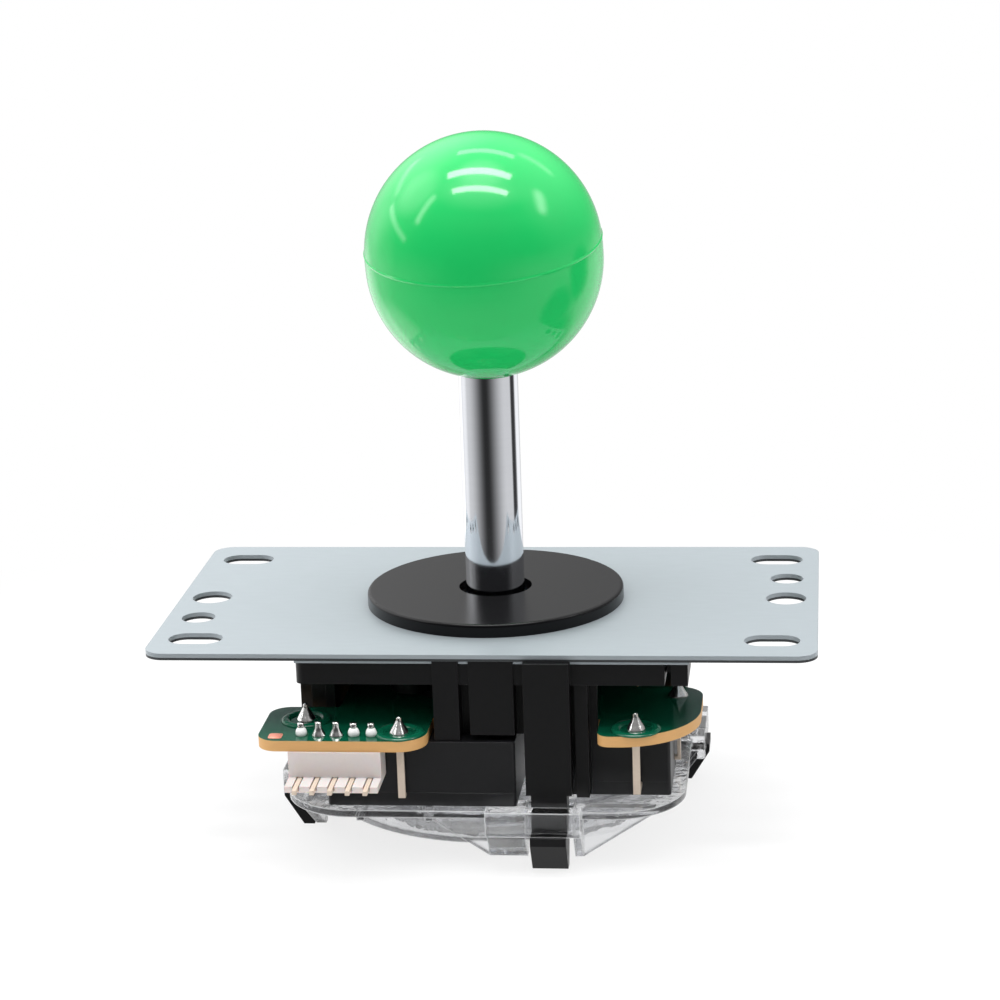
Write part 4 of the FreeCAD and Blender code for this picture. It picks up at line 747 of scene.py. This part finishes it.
class LEVER_OT_stage(bpy.types.Operator):
    """Set up the floor, the lamps, the world and the camera"""

    bl_idname = "lever.stage"
    bl_label = "Stage"

    def execute(self, context):
        studio = context.scene.studio_settings
        self.add_floor(studio)
        self.set_world(context.scene, studio)
        for name, place, size, share in TUBES:
            self.add_lamp(name, place, size, share * studio.tube_power)
        self.add_camera(context.scene, studio)
        context.scene.view_settings.view_transform = "Standard"
        return {"FINISHED"}

    def add_floor(self, studio):
        """A pale round floor under the hooks, white to the camera and keeping the shadow."""
        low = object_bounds()[0][2]
        mesh = bmesh.new()
        bmesh.ops.create_circle(mesh, cap_ends=True, segments=96, radius=studio.floor_radius)
        data = bpy.data.meshes.new("floor")
        mesh.to_mesh(data)
        mesh.free()
        data.materials.append(self.white_paper(studio))
        floor = bpy.data.objects.new("floor", data)
        floor.location.z = low - FLOOR_GAP
        floor.visible_glossy = False
        bpy.context.scene.collection.objects.link(floor)
        floor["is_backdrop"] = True

    def white_paper(self, studio):
        """Matt white paper that turns plain white to the camera away from the lever."""
        paper, tree, shader = new_material("white_paper", Base_Color=linear("#F2F2F2"), Roughness=0.8)
        path = add_node(tree, "ShaderNodeLightPath")
        direct = math_node(
            tree, "MAXIMUM", path.outputs["Is Camera Ray"], path.outputs["Is Glossy Ray"]
        )
        seen = math_node(tree, "MAXIMUM", direct, path.outputs["Is Transmission Ray"])
        place = add_node(tree, "ShaderNodeTexCoord")
        away = add_node(
            tree, "ShaderNodeVectorMath", {0: place.outputs["Object"]}, operation="LENGTH"
        )
        start = 0.25 * studio.floor_radius
        stop = 0.95 * studio.floor_radius
        fade = ramp(tree, away.outputs["Value"], start, stop, 0.8, 1.0)
        share = math_node(tree, "MULTIPLY", seen, fade)
        glow = add_node(tree, "ShaderNodeEmission", {"Color": (1, 1, 1, 1), "Strength": 1.0})
        mixed = add_node(
            tree,
            "ShaderNodeMixShader",
            {0: share, 1: shader.outputs["BSDF"], 2: glow.outputs["Emission"]},
        )
        output = next(node for node in tree.nodes if node.type == "OUTPUT_MATERIAL")
        tree.links.new(mixed.outputs["Shader"], output.inputs["Surface"])
        return paper

    def set_world(self, scene, studio):
        """White to the camera, soft light to matt surfaces, a room to glossy ones."""
        world = bpy.data.worlds.new("studio")
        scene.world = world
        world.use_nodes = True
        tree = world.node_tree
        tree.nodes.clear()
        direction = add_node(tree, "ShaderNodeTexCoord").outputs["Generated"]
        x, y, z = add_node(tree, "ShaderNodeSeparateXYZ", {"Vector": direction}).outputs
        bearing = math_node(tree, "ARCTAN2", x, math_node(tree, "MULTIPLY", y, -1.0))
        diffuse = self.soft_light(tree, bearing, z, studio.sky)
        low = self.lower_room(tree, direction, bearing, z)
        high = self.upper_room(tree, bearing, z)
        room = mix_numbers(tree, ramp(tree, z, -0.03, 0.1, 0.0, 1.0), low, high)
        for strip in STRIPS:
            room = math_node(tree, "ADD", room, self.strip(tree, direction, *strip))
        for reflector in REFLECTORS:
            room = math_node(tree, "ADD", room, self.patch(tree, direction, *reflector))
        path = add_node(tree, "ShaderNodeLightPath")
        unseen = mix_numbers(tree, path.outputs["Is Glossy Ray"], diffuse, room)
        straight = math_node(
            tree, "MAXIMUM", path.outputs["Is Camera Ray"], path.outputs["Is Transmission Ray"]
        )
        strength = mix_numbers(tree, straight, unseen, 1.0)
        white = {"Color": (1, 1, 1, 1), "Strength": strength}
        backdrop = add_node(tree, "ShaderNodeBackground", white)
        add_node(tree, "ShaderNodeOutputWorld", {"Surface": backdrop.outputs["Background"]})

    def soft_light(self, tree, bearing, z, sky):
        """What lights matt surfaces: the ceiling, the floor's glow and the side and rear walls."""
        ceiling = ramp(tree, z, 0.05, 0.7, 0.12, sky)
        glow = ramp(tree, z, 0.0, -0.15, 0.0, 0.4)
        around = self.wedge(tree, bearing, middle=12, inner=45, outer=90, within=0.0, beyond=1.45)
        walls = math_node(tree, "MULTIPLY", around, ramp(tree, z, -0.2, 0.1, 0.0, 1.0))
        return math_node(tree, "ADD", math_node(tree, "ADD", ceiling, glow), walls)

    def lower_room(self, tree, direction, bearing, z):
        """Below the horizon: walls, the dark camera side, the table and a black curtain."""
        around = self.wedge(tree, bearing, middle=-9, inner=3, outer=80, within=0.03, beyond=0.76)
        walls = math_node(tree, "MULTIPLY", around, ramp(tree, z, 0.0, -0.24, 0.5, 1.0))
        table = self.wedge(tree, bearing, middle=-20, inner=95, outer=150, within=0.62, beyond=0.4)
        room = mix_numbers(tree, ramp(tree, z, -0.25, -0.72, 0.0, 1.0), walls, table)
        curtain = 0.0
        for fold in FOLDS:
            curtain = math_node(tree, "MAXIMUM", curtain, self.patch(tree, direction, *fold, 1.0))
        return mix_numbers(tree, curtain, room, 0.05)

    def upper_room(self, tree, bearing, z):
        """Above the horizon: a pale backdrop round the sides and a dark camera side."""
        backdrop = ramp(tree, z, 0.12, 0.8, 0.27, 1.15)
        dim = ramp(tree, z, 0.3, 0.65, 0.05, 0.25)
        ceiling = ramp(tree, z, 0.7, 0.95, 0.0, 1.7)
        front = math_node(tree, "ADD", dim, ceiling)
        share = self.wedge(tree, bearing, middle=0, inner=50, outer=90, within=0.0, beyond=1.0)
        return mix_numbers(tree, share, front, backdrop)

    def wedge(self, tree, bearing, middle, inner, outer, within, beyond):
        """One value near a bearing and another away from it, with angles in degrees."""
        turned = math_node(tree, "SUBTRACT", bearing, math.radians(middle))
        away = math_node(tree, "ABSOLUTE", turned)
        return ramp(tree, away, math.radians(inner), math.radians(outer), within, beyond)

    def patch(self, tree, direction, bearing, rise, outer, inner, strength):
        """A soft round spot far away in a direction given by its bearing and rise."""
        facing = dot_node(tree, direction, heading(bearing, rise))
        edge = math.cos(math.radians(outer))
        core = math.cos(math.radians(inner))
        return ramp(tree, facing, edge, core, 0.0, strength)

    def strip(self, tree, direction, start, stop, width, strength):
        """A soft strip light far away, between two directions given by bearing and rise."""
        first = heading(*start)
        last = heading(*stop)
        half = math.degrees(first.angle(last)) / 2
        across = math_node(tree, "ABSOLUTE", dot_node(tree, direction, first.cross(last).normalized()))
        band = ramp(tree, across, math.sin(math.radians(width)), 0.0, 0.0, strength)
        facing = dot_node(tree, direction, (first + last).normalized())
        edge = math.cos(math.radians(half + width / 2))
        core = math.cos(math.radians(max(half - width / 2, 0.0)))
        return math_node(tree, "MULTIPLY", band, ramp(tree, facing, edge, core, 0.0, 1.0))

    def add_lamp(self, name, place, size, power):
        """A tube that shines straight down and doesn't show itself."""
        data = bpy.data.lights.new(name, "AREA")
        data.shape = "RECTANGLE"
        data.size, data.size_y = size
        data.energy = power
        lamp = bpy.data.objects.new(name, data)
        lamp.location = place
        lamp.visible_camera = False
        bpy.context.scene.collection.objects.link(lamp)

    def add_camera(self, scene, studio):
        """The photograph's viewpoint: in front, a little to the right and above."""
        data = bpy.data.cameras.new("camera")
        data.lens = studio.lens
        data.sensor_width = 36.0
        data.clip_start = 0.01
        camera = bpy.data.objects.new("camera", data)
        place = Matrix.Translation(Vector(CAMERA_PLACE) * MM)
        turn = Matrix.Rotation(math.radians(CAMERA_TURN), 4, "Z")
        dip = Matrix.Rotation(math.radians(90 - CAMERA_DIP), 4, "X")
        roll = Matrix.Rotation(math.radians(CAMERA_ROLL), 4, "Z")
        camera.matrix_world = place @ turn @ dip @ roll
        scene.collection.objects.link(camera)
        scene.camera = camera


class LEVER_PT_panel(bpy.types.Panel):
    """Lists the lever's colours, sizes and steps"""

    bl_idname = "LEVER_PT_panel"
    bl_label = "Arcade Lever"
    bl_space_type = "VIEW_3D"
    bl_region_type = "UI"
    bl_category = "Lever"

    def draw(self, context):
        for name in ("lever_colours", "solder_sizes", "studio_settings"):
            group = getattr(context.scene, name)
            box = self.layout.box()
            for key in group.__annotations__:
                box.prop(group, key)
        for step in STEPS:
            self.layout.operator(step.bl_idname)


STEPS = (
    LEVER_OT_ball,
    LEVER_OT_shaft,
    LEVER_OT_plate,
    LEVER_OT_washer,
    LEVER_OT_housing,
    LEVER_OT_board,
    LEVER_OT_connector,
    LEVER_OT_switches,
    LEVER_OT_gate,
    LEVER_OT_stage,
)
GROUPS = {
    "lever_colours": LeverColours,
    "solder_sizes": SolderSizes,
    "studio_settings": StudioSettings,
}


def register():
    """Register the property groups, the operators and the panel."""
    for name, group in GROUPS.items():
        bpy.utils.register_class(group)
        setattr(bpy.types.Scene, name, PointerProperty(type=group))
    for step in STEPS:
        bpy.utils.register_class(step)
    bpy.utils.register_class(LEVER_PT_panel)


def unregister():
    """Take the panel, the operators and the property groups away again."""
    bpy.utils.unregister_class(LEVER_PT_panel)
    for step in reversed(STEPS):
        bpy.utils.unregister_class(step)
    for name, group in reversed(GROUPS.items()):
        delattr(bpy.types.Scene, name)
        bpy.utils.unregister_class(group)


def main():
    """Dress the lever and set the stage."""
    register()
    for step in STEPS:
        group, name = step.bl_idname.split(".")
        getattr(getattr(bpy.ops, group), name)()


if __name__ == "__main__":
    main()
